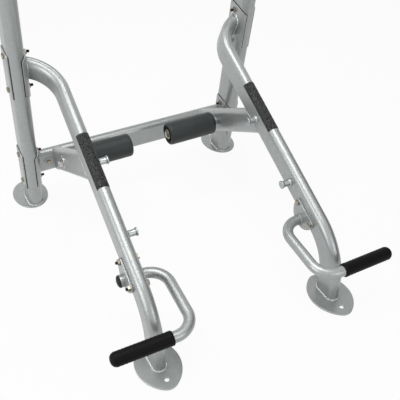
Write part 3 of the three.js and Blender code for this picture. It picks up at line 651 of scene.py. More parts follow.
def drawn_marks(mesh):
    arriving, leaving = -swing_heading, leg_heading
    turn = arriving.angle(leaving)
    start = swing_corner - arriving * LEG_TURN * math.tan(turn / 2)
    axis = arriving.cross(leaving).normalized()
    centre = start + axis.cross(arriving) * LEG_TURN
    middle = (TUBE_DEEP - TUBE_ACROSS) / 2
    for vertex in mesh.vertices:
        arm = vertex.co - centre
        arm.z = 0
        passed = (start - centre).angle(arm) * (1 if (start - centre).cross(arm).dot(axis) > 0 else -1)
        outward, above = arm.length - LEG_TURN, vertex.co.z - middle
        if -MARK_SLACK < passed < turn and above > 0 and outward > -TUBE_ACROSS / 4:
            around = math.atan2(above, outward)
            fade = min(1.0, (turn - passed) / (turn * MARK_FADE))
            fade *= min(1.0, max(0.0, (MARKS_END - around) / MARK_FADE))
            push = MARK_DEPTH * fade * (math.cos(around * MARK_WAVES) - 1) / 2
            vertex.co += (arm.normalized() * math.cos(around) + Vector((0, 0, math.sin(around)))) * push
    return tidy(mesh)


leg_tube = drawn_marks(tube(leg_route, TUBE_ACROSS, TUBE_DEEP, corner_points=24))
leg_tube = cut_flat(leg_tube, (-SADDLE_FACE, 0, 0), (1, 0, 0))
add_pair("leg_tube", leg_tube, LEG, "silver_paint", "front_leg")

# %% [markdown]
# ## Crossmembers, struts and caps
#
# The crossmembers are straight tubes between the saddles. A strut's ends are coped: cut to the curve
# of the tube that each meets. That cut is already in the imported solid, so the strut is a copy of it
# with its corners merged and its facets shaded smooth. The caps on the uprights are copied likewise.

# %% Crossmembers, struts and caps
CAP_CRISP = 40.0

half_span = UPRIGHT_X - SADDLE_FACE
for node, y, z in (("lower_crossmember", cross_y, cross_z), ("upper_crossmember", upper_y, upper_z)):
    beam = tube([(-half_span, 0, 0), (half_span, 0, 0)], TUBE_ACROSS, TUBE_DEEP, corner_points=16)
    beam.transform(BASE @ spot(0, y, z))
    add_piece(f"{node}_tube", beam, "silver_paint", [node])


def smooth_copy(node, crisp=CRISP):
    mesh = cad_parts[node].data.copy()
    mesh.transform(Matrix.Scale(1 / MM, 4))
    tidy(mesh, crisp)
    mesh.transform(Matrix.Scale(MM, 4))
    return mesh


for side, word in SIDES:
    add_piece(f"{word}_strut_tube", smooth_copy(f"{word}_strut"), "silver_paint", [f"{word}_strut"])
    cap = smooth_copy(f"{word}_upright_cap", CAP_CRISP)
    add_piece(f"{word}_moulded_cap", cap, "black_plastic", [f"{word}_upright_cap"])
print("pieces so far:", counts["pieces"])

# %% [markdown]
# ## Round tubes: dip arms and push-up handles
#
# A dip arm leaves its joint, bends once and runs forward level. A push-up handle is a U of tube that
# leaves the leg's plate, runs forward and down a little, and comes back across the front of the leg.

# %% Arms and handles
DIP_TUBE = 44
DIP_INSET = 132
DIP_TURN = 80
DIP_REACH = 430
HANDLE_TUBE = 35
HANDLE_INSET = 100
HANDLE_REACH = 243
HANDLE_FALL = 30
HANDLE_TURN = 64
HANDLE_END = 147
HANDLE_PLATE = 6

dip_route = bent([(-SADDLE_FACE, 0, 0), (-DIP_INSET, 0, 0), (-DIP_INSET, -DIP_REACH, 0)], [DIP_TURN])
add_pair("dip_arm_tube", tube(dip_route, DIP_TUBE, DIP_TUBE), DIP, "silver_paint", "dip_arm")

tube_side = TUBE_ACROSS / 2 + SEAT_GAP
plate_face = tube_side + HANDLE_PLATE
handle_route = bent([
    (-plate_face, 0, 0), (-HANDLE_INSET, 0, 0), (-HANDLE_INSET, -HANDLE_REACH, -HANDLE_FALL),
    (HANDLE_END, -HANDLE_REACH, -HANDLE_FALL)], [HANDLE_TURN, HANDLE_TURN])
handle_tube = tube(handle_route, HANDLE_TUBE, HANDLE_TUBE)
add_pair("handle_tube", handle_tube, LEVEL, "silver_paint", "push_up_handle")

# %% [markdown]
# ## Formed saddle plates
#
# Each joint on an upright is clamped between two plates that are pressed to the upright's round. The
# inner plate wraps far round and the tubes are welded to it, and the outer one only covers the flat.
# A strip of quads follows the section, each column is as tall as the plate's rounded corners allow
# there, and Solidify and Bevel give it the thickness and the soft edge of pressed steel. Between each
# plate and the upright lies a dark film that is barely larger than the plate. It is painted shade: a
# dark sheet that draws the shadow line which every such gap shows.

# %% Saddles and clamps
INNER_WRAP = math.radians(67.5)
OUTER_WRAP = math.radians(22.5)
SADDLE_CORNER = 40
SADDLE_SAG = 8
PRESSED_EDGE = 0.9
PRESSED_CRISP = 30.0
ARC_STEPS = 14
FLAT_STEPS = 4
# The film is painted shade: a dark sheet, barely larger than a plate, that draws the shadow in the gap.
FILM_GAP = 0.06
SHADE_FILM = {"inside": UPRIGHT_ACROSS / 2 + FILM_GAP, "thick": 0.2, "border": 2.4}


def formed_plate(wrap, length, inside=SADDLE_INSIDE, thick=SADDLE_THICK, border=0.0):
    shift = (UPRIGHT_DEEP - UPRIGHT_ACROSS) / 2
    wrap += border / inside
    stations = []
    for i in range(ARC_STEPS + 1):
        angle = wrap * (1 - i / ARC_STEPS)
        stations.append((-inside * math.cos(angle), shift + inside * math.sin(angle)))
    stations += [(-inside, shift * (1 - 2 * i / FLAT_STEPS)) for i in range(1, FLAT_STEPS)]
    stations += [(x, -y) for x, y in reversed(stations[:ARC_STEPS + 1])]
    straight = UPRIGHT_DEEP / 2 + SEAT_GAP + SADDLE_THICK - SADDLE_CORNER
    vertices, faces = [], []
    for x, y in stations:
        past = min(max(abs(y) - straight, 0.0), SADDLE_CORNER)
        tall = length / 2 - SADDLE_CORNER + math.sqrt(SADDLE_CORNER ** 2 - past ** 2) + border
        vertices += [(x, y, -tall), (x, y, tall)]
    for i in range(len(stations) - 1):
        faces.append((2 * i, 2 * i + 1, 2 * i + 3, 2 * i + 2))
    plate = new_mesh(vertices, faces)
    outside = 1.0 if plate.polygons[len(faces) // 2].normal.x < 0 else -1.0
    plate = with_modifier(plate, "SOLIDIFY", thickness=thick, offset=outside, use_even_offset=True)
    return tidy(rounded_edges(plate, min(PRESSED_EDGE, thick / 3)), PRESSED_CRISP)


saddle = formed_plate(INNER_WRAP, SADDLE_LENGTH)
saddle_shade_film = formed_plate(INNER_WRAP, SADDLE_LENGTH, **SHADE_FILM)
for name, along in JOINTS.items():
    place = UPRIGHT @ spot(0, 0, along - SADDLE_SAG)
    add_pair(f"{name}_inner_plate", saddle, place, "silver_paint", f"{name}_saddle")
    add_pair(f"{name}_inner_film", saddle_shade_film, place, "shadow_film")

reach = JOINTS["upper_crossmember"] - JOINTS["dip_arm"]
upper_middle = (JOINTS["upper_crossmember"] + JOINTS["dip_arm"]) / 2
for name, along, length in (("crossmember", JOINTS["crossmember"], SADDLE_LENGTH),
                            ("leg", JOINTS["leg"], SADDLE_LENGTH),
                            ("upper", upper_middle, SADDLE_LENGTH + reach)):
    place = UPRIGHT @ spot(0, 0, along - SADDLE_SAG)
    clamp = flipped(formed_plate(OUTER_WRAP, length), MIRROR)
    clamp_shade_film = flipped(formed_plate(OUTER_WRAP, length, **SHADE_FILM), MIRROR)
    add_pair(f"{name}_outer_plate", clamp, place, "silver_paint", f"{name}_clamp")
    add_pair(f"{name}_outer_film", clamp_shade_film, place, "shadow_film")

# %% [markdown]
# ## Flat plates with rounded edges
#
# The floor plates and the handle plates are cut from sheet and their edges are knocked off. A flat
# outline is stepped inwards along a quarter circle at both faces, and the faces are then filled. An
# outline runs anticlockwise and a hole clockwise, so the metal is always on the left of the line and
# the same step works for both. A narrow flat margin inside each edge keeps the rounding's shading from
# spreading over the wide face.

# %% Helpers that make a plate
FLAT_MARGIN = 0.8
EDGE_STEPS = 3


def plate_mesh(loops, low, high, edge):
    work = bmesh.new()
    rims = {low: [], high: []}
    rounding = [(edge + FLAT_MARGIN, 0.0)]
    for k in range(EDGE_STEPS + 1):
        angle = math.pi / 2 * k / EDGE_STEPS
        rounding.append((edge * (1 - math.sin(angle)), edge * (1 - math.cos(angle))))
    for loop in loops:
        count = len(loop)
        inward = []
        for i in range(count):
            along = (Vector(loop[(i + 1) % count]) - Vector(loop[i - 1])).normalized()
            inward.append(Vector((-along.y, along.x)))
        rings = []
        for height, sense in ((low, 1), (high, -1)):
            for step_in, step_up in rounding[::sense]:
                ring = [work.verts.new((*(Vector(p) + n * step_in), height + sense * step_up))
                        for p, n in zip(loop, inward)]
                rings.append(ring)
        for below, above in zip(rings, rings[1:]):
            for i in range(count):
                j = (i + 1) % count
                work.faces.new((below[i], below[j], above[j], above[i]))
        for height, ring in ((low, rings[0]), (high, rings[-1])):
            rims[height] += [work.edges.get((ring[i], ring[(i + 1) % count])) for i in range(count)]
    for rim in rims.values():
        bmesh.ops.triangle_fill(work, use_beauty=True, use_dissolve=False, edges=rim)
    mesh = bpy.data.meshes.new("plate")
    work.to_mesh(mesh)
    work.free()
    return tidy(mesh)


def arc(radius, first, last, steps, x=0.0, y=0.0, stretch=1.0):
    turns = [first + (last - first) * i / steps for i in range(steps + 1)]
    return [(x + radius * math.cos(t), y + radius * stretch * math.sin(t)) for t in turns]


def circle(radius, count, x=0.0, y=0.0, sense=1, stretch=1.0):
    return arc(radius, 0, sense * 2 * math.pi, count, x, y, stretch)[:-1]


print("an edge is rounded in", EDGE_STEPS, "steps")

# %% [markdown]
# ## Floor plates
#
# The rear plates are plain ovals. The front ones are fuller in the middle and narrower at the ends:
# two wide arcs that meet in a small round, like a lens. Each plate has one hole for a floor screw.

# %% Floor plates
SHEET_EDGE = 1.4
HOLE_POINTS = 32
OVAL_POINTS = 96
LENS_STEPS = 24
FRONT_END_RADIUS = 36
FRONT_FOOT_INWARD = 3
REAR_FOOT_OUTWARD = 6


def lens(wide, long, end_radius):
    reach, rest = wide / 2, long / 2 - end_radius
    flank_radius = (reach ** 2 + rest ** 2 - end_radius ** 2) / (2 * (reach - end_radius))
    change = math.atan2(rest, flank_radius - reach)
    quarter = arc(flank_radius, 0, change, LENS_STEPS, x=reach - flank_radius)[:-1]
    quarter += arc(end_radius, change, math.pi / 2, LENS_STEPS, y=rest)
    half = quarter + [(-x, y) for x, y in reversed(quarter[:-1])]
    return half + [(-x, -y) for x, y in half[1:-1]]


def foot_plate(foot, outline):
    hole = circle(foot["hole"] / 2, HOLE_POINTS, foot["hole_x"], foot["hole_y"], -1)
    return plate_mesh([outline, hole], 0, foot["thick"], SHEET_EDGE)


rear_outline = circle(REAR_FOOT["wide"] / 2, OVAL_POINTS, stretch=REAR_FOOT["long"] / REAR_FOOT["wide"])
add_pair("rear_floor_plate", foot_plate(REAR_FOOT, rear_outline),
         BASE @ spot(UPRIGHT_X + REAR_FOOT_OUTWARD, REAR_FOOT_BACK), "silver_paint", "rear_foot")
front_low, front_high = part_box("right_front_foot")
front_middle = (front_low + front_high) / 2
front_outline = lens(FRONT_FOOT["wide"], FRONT_FOOT["long"], FRONT_END_RADIUS)
front_place = Matrix.Translation((front_middle.x - FRONT_FOOT_INWARD * MM, front_middle.y, 0))
add_pair("front_floor_plate", foot_plate(FRONT_FOOT, front_outline), front_place @ Matrix.Scale(MM, 4),
         "silver_paint", "front_foot")

# %% [markdown]
# ## Handle plates
#
# The two plates of a handle share one outline: straight along the leg, and bulging below it to carry
# the tube. The outline is three arcs, and two points that fall on the same place are made one. The
# plate is drawn flat and then turned to stand against the leg's side.

# %% Handle plates
HANDLE_BOLTS = 86
HANDLE_BORDER = 12
HANDLE_BULGE = 70
HANDLE_BOLT_DROP = 6
HANDLE_PLATE_EDGE = 0.9
BULGE_STEPS = 48
BORDER_STEPS = 12
STAND_BESIDE_LEG = Matrix(((0, 0, -1, 0), (-1, 0, 0, 0), (0, 1, 0, 0), (0, 0, 0, 1)))

half_plate = HANDLE_BOLTS / 2 + HANDLE_BORDER
quarter_turn = math.pi / 2
outline = arc(half_plate, math.pi, 2 * math.pi, BULGE_STEPS, y=-HANDLE_BOLT_DROP,
              stretch=HANDLE_BULGE / half_plate)
outline += arc(HANDLE_BORDER, 0, quarter_turn, BORDER_STEPS, HANDLE_BOLTS / 2, -HANDLE_BOLT_DROP)
outline += arc(HANDLE_BORDER, quarter_turn, math.pi, BORDER_STEPS, -HANDLE_BOLTS / 2, -HANDLE_BOLT_DROP)
outline = [p for i, p in enumerate(outline) if (Vector(p) - Vector(outline[i - 1])).length > MERGE]
handle_plate = plate_mesh([outline], 0, HANDLE_PLATE, HANDLE_PLATE_EDGE)
handle_plate.transform(STAND_BESIDE_LEG)
tidy(handle_plate)
for name, x, node in (("inner", -tube_side, "handle_plate"), ("outer", plate_face, "handle_clamp")):
    add_pair(f"handle_{name}_plate", handle_plate, RUN @ spot(x, -HANDLE_PLACE), "silver_paint", node)

# %% [markdown]
# ## Turned pieces
#
# Pegs, axles, grips, plugs and foam rollers are all turned shapes: a profile swung round an axis. The
# profile is a list of places along the axis with a radius at each. A small helper rounds its corners,
# because nothing turned or moulded has a perfectly sharp edge, so a corner may carry a third number
# that says how far back the rounding starts.

# %% Helpers that turn a profile
TURNED_CRISP = 50.0


def softened(corners, steps=4):
    made = []
    for i, (along, radius, soft) in enumerate(corners):
        here = Vector((along, radius))
        if soft == 0:
            made.append(here)
            continue
        before, after = Vector(corners[i - 1][:2]), Vector(corners[i + 1][:2])
        start = here + (before - here).normalized() * soft
        end = here + (after - here).normalized() * soft
        for k in range(steps + 1):
            t = k / steps
            made.append(start * (1 - t) ** 2 + here * 2 * t * (1 - t) + end * t * t)
    return made


def turned(profile, segments):
    vertices, faces, rings = [], [], []
    for along, radius in profile:
        if radius < MERGE:
            rings.append([len(vertices)])
            vertices.append((along, 0, 0))
            continue
        rings.append([len(vertices) + i for i in range(segments)])
        for i in range(segments):
            turn = 2 * math.pi * i / segments
            vertices.append((along, radius * math.cos(turn), radius * math.sin(turn)))
    for a, b in zip(rings, rings[1:]):
        for i in range(segments):
            j = (i + 1) % segments
            if len(a) == 1 and len(b) > 1:
                faces.append((a[0], b[j], b[i]))
            elif len(b) == 1 and len(a) > 1:
                faces.append((a[i], a[j], b[0]))
            elif len(a) > 1:
                faces.append((a[i], a[j], b[j], b[i]))
    return tidy(new_mesh(vertices, faces), TURNED_CRISP)


print("turned edges sharper than", TURNED_CRISP, "degrees stay crisp")

# %% [markdown]
# ## Band pegs
#
# Two short pegs stick out of each leg's inner side, to hold exercise bands. A peg is turned from bar:
# a flange against the leg, a slim body and a wider head that keeps the band on.

# %% Band pegs
PEG_BODY = 21.5
PEG_HEAD = 28
PEG_FOOT = 27
PEG_LONG = 35
PEG_FLANGE = 3
PEG_NECK = 6
HEAD_TAPER = 8
HEAD_RIM = 4
PEG_SOFT = {"flange": 1.2, "neck": 2, "taper": 2.5, "shoulder": 1.5, "rim": 1.4}
PEG_SEGMENTS = 56
PEG_PLACES = {"upper": 405, "lower": 663}

seat = -tube_side
tip = seat - PEG_LONG
peg = turned(softened(
    [(seat, 0, 0), (seat, PEG_FOOT / 2, 0), (seat - PEG_FLANGE, PEG_FOOT / 2, PEG_SOFT["flange"]),
     (seat - PEG_NECK, PEG_BODY / 2, PEG_SOFT["neck"]),
     (tip + HEAD_TAPER, PEG_BODY / 2, PEG_SOFT["taper"]),
     (tip + HEAD_RIM, PEG_HEAD / 2, PEG_SOFT["shoulder"]), (tip, PEG_HEAD / 2, PEG_SOFT["rim"]),
     (tip, 0, 0)]), PEG_SEGMENTS)
for name, along in PEG_PLACES.items():
    add_pair(f"{name}_peg", peg, RUN @ spot(0, -along), "peg_steel", f"{name}_band_peg")

# %% [markdown]
# ## The handle's socket and plug
#
# The handle's tube runs on under the leg and shows beyond the outer plate as a short socket, closed
# with a plastic plug. The plug is a shallow dome with a stem that is gripped by the socket's wall.

# %% Socket and plug
STUB = 40
STUB_WALL = 3
STUB_LONG = 12
STUB_SOFT = 0.8
STUB_SUNK = 1
PLUG_DOME = 9
PLUG_STEM = 8
DOME_STEPS = 10
STUB_SEGMENTS = 64

bore = STUB / 2 - STUB_WALL
stub_start, stub_end = plate_face - STUB_SUNK, plate_face + STUB_LONG
socket = turned(softened(
    [(stub_start, bore, 0), (stub_end, bore, STUB_SOFT), (stub_end, STUB / 2, STUB_SOFT),
     (stub_start, STUB / 2, 0), (stub_start, bore, 0)]), STUB_SEGMENTS)
plug_seat = stub_end + SEAT_GAP
plug_end = plug_seat - PLUG_STEM
dome_turns = [math.pi / 2 * i / DOME_STEPS for i in range(DOME_STEPS, -1, -1)]
dome = [(plug_seat + PLUG_DOME * math.sin(turn), STUB / 2 * math.cos(turn)) for turn in dome_turns]
stem = [(plug_seat, bore - SEAT_GAP), (plug_end, bore - SEAT_GAP), (plug_end, 0)]
plug = turned(dome + stem, STUB_SEGMENTS)
stub_place = RUN @ spot(0, -HANDLE_PLACE, -HANDLE_DROP)
add_pair("handle_socket", socket, stub_place, "silver_paint")
add_pair("tube_plug", plug, stub_place, "black_plastic", "handle_plug")

# %% [markdown]
# ## Rubber grips
#
# A grip is a rubber sleeve that is pulled over the tube's end, so its free end is closed and domed,
# and its mouth rolls in to the tube. Very shallow waves along it keep it from looking machined. The
# dome is given as how far behind the tip each ring lies and what share of the radius it has, and the
# mouth as how far inside the end each ring lies and what share of the wall is gone there.

# %% Grips
GRIP_DOME = ((0, 0), (0.4, 0.3), (2, 0.54), (5, 0.74), (9, 0.88), (13.5, 0.96))
GRIP_MOUTH = ((3.5, 0), (1.2, 0.35), (0.5, 0.8))
MOUTH_IN = 0.8
WAVES_FROM = 18
WAVE_STEP = 4
WAVE_TURN = 2.1
MOUTH_ROOM = 6
GRIP_SEGMENTS = 56


def grip(tube_diameter, wall, length, end, wave):
    outer = tube_diameter / 2 + SEAT_GAP + wall
    inner = tube_diameter / 2 + SEAT_GAP / 2
    tip = end + SEAT_GAP
    mouth = tip - length
    profile = [(tip - behind, outer * share) for behind, share in GRIP_DOME]
    for i in range(int((length - WAVES_FROM - MOUTH_ROOM) / WAVE_STEP)):
        hollow = wave * (1 - math.cos(i * WAVE_TURN)) / 2
        profile.append((tip - WAVES_FROM - i * WAVE_STEP, outer * (1 - hollow)))
    profile += [(mouth + inside, outer - wall * gone) for inside, gone in GRIP_MOUTH]
    profile += [(mouth + MOUTH_IN, inner), (0, inner), (0, 0)]
    return turned(profile, GRIP_SEGMENTS)


push_up_grip = grip(HANDLE_TUBE, wall=4.3, length=187, end=14, wave=0.03)
add_pair("handle_grip", push_up_grip, LEVEL @ spot(HANDLE_END, -HANDLE_REACH, -HANDLE_FALL),
         "black_rubber", "push_up_grip")
arm_grip = grip(DIP_TUBE, wall=4, length=195, end=12, wave=0.02)
arm_grip.transform(Matrix.Rotation(-math.pi / 2, 4, "Z"))
add_pair("arm_grip", arm_grip, DIP @ spot(-DIP_INSET, -DIP_REACH), "black_rubber", "dip_grip")

# %% [markdown]
# ## The foam rollers
#
# A roller is a thick foam tube that turns with its plastic sleeve. The foam's ends are rounded over
# and its skin is a little uneven, so the skin is pushed in and out by slow noise, which leaves the bore
# alone. At the inner end the foam stands past the sleeve and forms a lip round the axle's nut. The
# ends were cut with a knife, so each has a thin disc of rougher foam laid on it. The disc is darker
# than the skin, partly as cut foam is and partly as painted shade for the shadow on the end faces.

# %% Foam
FOAM_DIAMETER = 86
FOAM_LENGTH = 186
FOAM_ROUND = 11
FOAM_START = TUBE_ACROSS / 2 + 23
FOAM_END = FOAM_START + FOAM_LENGTH
FOAM_RINGS = 46
ROUNDED_RINGS = 3
FOAM_LIP = 5.5
LIP_INSIDE = 24
LIP_SOFT = 1
ROUND_STEPS = 8
FOAM_SEGMENTS = 96
SLEEVE = 30
SKIN_FROM = 0.3
SKIN_DEPTH = 0.5
SKIN_SCALE = 0.045


def uneven(mesh):
    for vertex in mesh.vertices:
        out = Vector((0, vertex.co.y, vertex.co.z))
        if out.length > FOAM_DIAMETER * SKIN_FROM:
            push = field.noise(vertex.co * SKIN_SCALE) * SKIN_DEPTH
            vertex.co += out.normalized() * push
    return mesh


foam_inner = SLEEVE / 2 + SEAT_GAP
foam_outer = FOAM_DIAMETER / 2
lip_face = -FOAM_END - FOAM_LIP
skin = [(-FOAM_START - FOAM_LENGTH * i / FOAM_RINGS, foam_outer, 0)
        for i in range(ROUNDED_RINGS, FOAM_RINGS - ROUNDED_RINGS + 1)]
foam = turned(softened(
    [(-FOAM_START, foam_inner, 0), (-FOAM_START, foam_outer, FOAM_ROUND), *skin,
     (lip_face, foam_outer, FOAM_ROUND), (lip_face, LIP_INSIDE, LIP_SOFT), (-FOAM_END, LIP_INSIDE, 0),
     (-FOAM_END, foam_inner, 0), (-FOAM_START, foam_inner, 0)], ROUND_STEPS), FOAM_SEGMENTS)
for piece in add_pair("foam_sleeve", uneven(foam), ROLLER, "grey_foam", "foam_roller", "roller"):
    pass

# %% [markdown]
# ## The roller's sleeve and cut ends
#
# The plastic sleeve is a plain tube in the foam's bore, a little longer than the foam. The three cut
# faces of the foam are one piece: at the outer end, on the lip, and at the bottom of the lip.

# %% Sleeve and cut ends
SLEEVE_PROUD = 1.5
SLEEVE_SOFT = 0.6
AXLE_SHAFT = 19
SHAFT_PLAY = 0.5
CUT_SUNK = 0.2
CUT_PROUD = 0.3
CUT_EDGE = 1
LIP_CUT_WIDER = 3
CORE_SEGMENTS = 64
MERGED_CRISP = 32.0


def cut_face(face, way, inside, outside):
    sunk, proud = face - way * CUT_SUNK, face + way * CUT_PROUD
    return turned([(sunk, inside), (sunk, outside), (proud, outside - CUT_EDGE), (proud, inside),
                   (sunk, inside)], CORE_SEGMENTS)


def merged(*meshes):
    work = bmesh.new()
    for mesh in meshes:
        work.from_mesh(mesh)
    mesh = bpy.data.meshes.new("merged")
    work.to_mesh(mesh)
    work.free()
    return tidy(mesh, MERGED_CRISP, outward=False)


sleeve_inner = AXLE_SHAFT / 2 + SHAFT_PLAY
sleeve_start, sleeve_end = -FOAM_START + SLEEVE_PROUD, -FOAM_END - SLEEVE_PROUD
sleeve = turned(softened(
    [(sleeve_start, sleeve_inner, 0), (sleeve_end, sleeve_inner, SLEEVE_SOFT),
     (sleeve_end, SLEEVE / 2, SLEEVE_SOFT), (sleeve_start, SLEEVE / 2, SLEEVE_SOFT),
     (sleeve_start, sleeve_inner, 0)]), CORE_SEGMENTS)
add_pair("roller_core", sleeve, ROLLER, "black_plastic", "roller_sleeve", "roller")

# These dark discs are partly painted shade for the shadow on the foam's end faces.
cut_ends = merged(cut_face(-FOAM_START, 1, foam_inner, foam_outer - FOAM_ROUND),
                  cut_face(-FOAM_END, -1, foam_inner, LIP_INSIDE),
                  cut_face(lip_face, -1, LIP_INSIDE, foam_outer - FOAM_ROUND + LIP_CUT_WIDER))
add_pair("foam_cut_ends", cut_ends, ROLLER, "shaded_cut_foam", None, "roller")

# %% [markdown]
# ## The roller's axle
#
# The steel axle passes through the strut and stands still while the roller turns. Between the strut
# and the foam it has a ribbed collar and two thin flanges, which keep the foam off the steel. Each
# flange is given by where it starts and ends, in front of the collar's end, and by its radius.

# %% Axle
AXLE_THREAD = 16
AXLE_COLLAR = 32
OUTER_AXLE_END = 20
INNER_AXLE_END = 12
RIB_DEPTH = 1.2
RIB_PARTS = 13
RIBS_STOP = 10
FLANGES = ((9, 6.5, 21), (3.5, 0.5, 24.5))
FLANGE_EDGE = 0.6
AXLE_CHAMFER = 1

inner_seat = FOAM_END + SLEEVE_PROUD + SEAT_GAP
outer_seat = tube_side
collar_end = FOAM_START - SLEEVE_PROUD - SEAT_GAP
groove, thread_radius, shaft_radius = AXLE_COLLAR / 2 - RIB_DEPTH, AXLE_THREAD / 2, AXLE_SHAFT / 2
ribs = [(-outer_seat, groove)]
for i in range(1, RIB_PARTS):
    along = -outer_seat - (collar_end - RIBS_STOP - outer_seat) * i / RIB_PARTS
    ribs.append((along, groove if i % 3 == 0 else AXLE_COLLAR / 2))
for start, end, radius in FLANGES:
    start, end = start - collar_end, end - collar_end
    ribs += [(start, groove), (start, radius - FLANGE_EDGE), (start - FLANGE_EDGE, radius),
             (end + FLANGE_EDGE, radius), (end, radius - FLANGE_EDGE), (end, groove)]
outer_tip, inner_tip = outer_seat + OUTER_AXLE_END, -inner_seat - INNER_AXLE_END
shaft_end = SEAT_GAP - inner_seat
axle = turned(
    [(outer_tip, 0), (outer_tip, thread_radius - AXLE_CHAMFER), (outer_tip - AXLE_CHAMFER, thread_radius),
     (-outer_seat, thread_radius), *ribs, (-collar_end, groove), (-collar_end, shaft_radius),
     (shaft_end, shaft_radius), (shaft_end, thread_radius), (inner_tip + AXLE_CHAMFER, thread_radius),
     (inner_tip, thread_radius - AXLE_CHAMFER), (inner_tip, 0)], CORE_SEGMENTS)
add_pair("axle_with_collar", axle, ROLLER, "peg_steel", "roller_axle")

# %% [markdown]
# ## Grip tape on the steps
#
# The tape is a strip of grit-coated sheet pressed over the round top of the leg. Its surface is not
# smooth at all, so beside the shader's grain the mesh itself is raised and lowered a little. The real
# strips do not sit at the same place on the two legs, and each has a noise of its own.

# %% Step tape
TAPE_THICK = 1.2
TAPE_LENGTH = 196
TAPE_WRAP = math.radians(75)
TAPE_PLACES = {1: 382, -1: 413}
TAPE_ACROSS = 50
TAPE_ALONG = 170
TAPE_GAP = 0.15
TAPE_SUNK = 0.3
GRIT_DEPTH = 0.5
GRIT_ROUND = 9
GRIT_ALONG = 0.45
TAPE_SEED = 3.7
TAPE_CRISP = 60.0


def tape_mesh(seed):
    centre = (TUBE_DEEP - TUBE_ACROSS) / 2
    vertices, faces = [], []
    for top in (False, True):
        for i in range(TAPE_ALONG + 1):
            for j in range(TAPE_ACROSS + 1):
                angle = math.pi / 2 + TAPE_WRAP * (2 * j / TAPE_ACROSS - 1)
                y = TAPE_LENGTH * (i / TAPE_ALONG - 0.5)
                reach = TUBE_ACROSS / 2 + TAPE_GAP
                if top:
                    reach += TAPE_THICK - TAPE_SUNK
                if top and 0 < i < TAPE_ALONG and 0 < j < TAPE_ACROSS:
                    reach += GRIT_DEPTH * field.noise(Vector((angle * GRIT_ROUND, y * GRIT_ALONG, seed)))
                vertices.append((reach * math.cos(angle), y, centre + reach * math.sin(angle)))
    row, layer = TAPE_ACROSS + 1, (TAPE_ALONG + 1) * (TAPE_ACROSS + 1)
    for i in range(TAPE_ALONG):
        for j in range(TAPE_ACROSS):
            a = i * row + j
            faces.append((a, a + 1, a + row + 1, a + row))
            faces.append((layer + a, layer + a + row, layer + a + row + 1, layer + a + 1))
    rim = list(range(row)) + [i * row + TAPE_ACROSS for i in range(1, TAPE_ALONG + 1)]
    rim += [TAPE_ALONG * row + j for j in range(TAPE_ACROSS - 1, -1, -1)]
    rim += [i * row for i in range(TAPE_ALONG - 1, 0, -1)]
    for a, b in zip(rim, rim[1:] + rim[:1]):
        faces.append((a, b, layer + b, layer + a))
    return tidy(new_mesh(vertices, faces), TAPE_CRISP)


for side, word in SIDES:
    strip = tape_mesh(side * TAPE_SEED)
    strip.transform(RUN @ spot(0, -TAPE_PLACES[side]))
    strip = strip if side > 0 else flipped(strip, MIRROR)
    add_piece(f"{word}_grit_tape", strip, "grip_tape", [f"{word}_step_tape"])
    print(word, "tape:", len(strip.polygons), "faces")

# %% [markdown]
# ## Heads, washers and threads
#
# Two dozen hexagon bolts hold the station together. The corners of a real head are turned off by a
# cone, which leaves a curved line on each flat, so a hexagon is drawn as four rings of points whose
# height follows that cone. A washer is a disc with a soft edge. A bolt's end has rings of thread and a
# small point, given by how far each ring lies behind the tip and within the thread.

# %% Helpers that draw a head, a washer and a thread
HEX_SAMPLES = 12
CROWN_SHARE = 0.95
CONE_SLOPE = math.tan(math.radians(30))
SEAT_SLOPE = 0.4
DISC_SOFT = 0.35
PITCH = 1.5
THREAD_DEPTH = 0.45
THREAD_POINT = ((0.4, 0.9), (0, 1.3))
POINT_ROOM = 1


def hexagon(across_flats, height, base=0.0):
    radius, count = across_flats / 2, 6 * HEX_SAMPLES
    crown, top = radius * CROWN_SHARE, base + height
    vertices = [(0, 0, base)]
    for row in range(4):
        for i in range(count):
            turn = 2 * math.pi * i / count
            corner = radius / math.cos((turn % (math.pi / 3)) - math.pi / 6)
            past = corner - crown
            reach = crown if row in (0, 3) else corner
            level = (base, base + past * SEAT_SLOPE, top - past * CONE_SLOPE, top)[row]
            vertices.append((reach * math.cos(turn), reach * math.sin(turn), level))
    vertices.append((0, 0, top))
    faces = []
    rows = [1 + row * count for row in range(4)]
    for i in range(count):
        j = (i + 1) % count
        faces.append((0, rows[0] + j, rows[0] + i))
        for a, b in zip(rows, rows[1:]):
            faces.append((a + i, a + j, b + j, b + i))
        faces.append((rows[3] + i, rows[3] + j, len(vertices) - 1))
    return tidy(new_mesh(vertices, faces))


def upright_turned(profile, segments):
    mesh = turned(profile, segments)
    mesh.transform(Matrix.Rotation(-math.pi / 2, 4, "Y"))
    return mesh


def disc(diameter, thick, segments=36):
    radius = diameter / 2
    return upright_turned([(0, 0), (0, radius), (thick - DISC_SOFT, radius), (thick, radius - DISC_SOFT),
                           (thick, 0)], segments)


def thread(diameter, low, high, segments=20):
    radius = diameter / 2
    profile = [(low, 0), (low, radius)]
    for i in range(int((high - low - POINT_ROOM) / (PITCH / 2))):
        profile.append((low + (i + 1) * PITCH / 2, radius - THREAD_DEPTH * (i % 2)))
    profile += [(high - behind, radius - within) for behind, within in THREAD_POINT]
    return upright_turned([*profile, (high, 0)], segments)


print("a hexagon has", 6 * HEX_SAMPLES, "points round it")

# %% [markdown]
# ## One of each fastener
#
# Each kind of fastener is drawn once, standing on the z axis with its seat at zero. The bolts are
# 10 mm ones, and those of the uprights are longer and show more thread beyond their nuts. An end
# bolt's head and nut sit on a wide washer, and an axle's nut is one piece with its own.

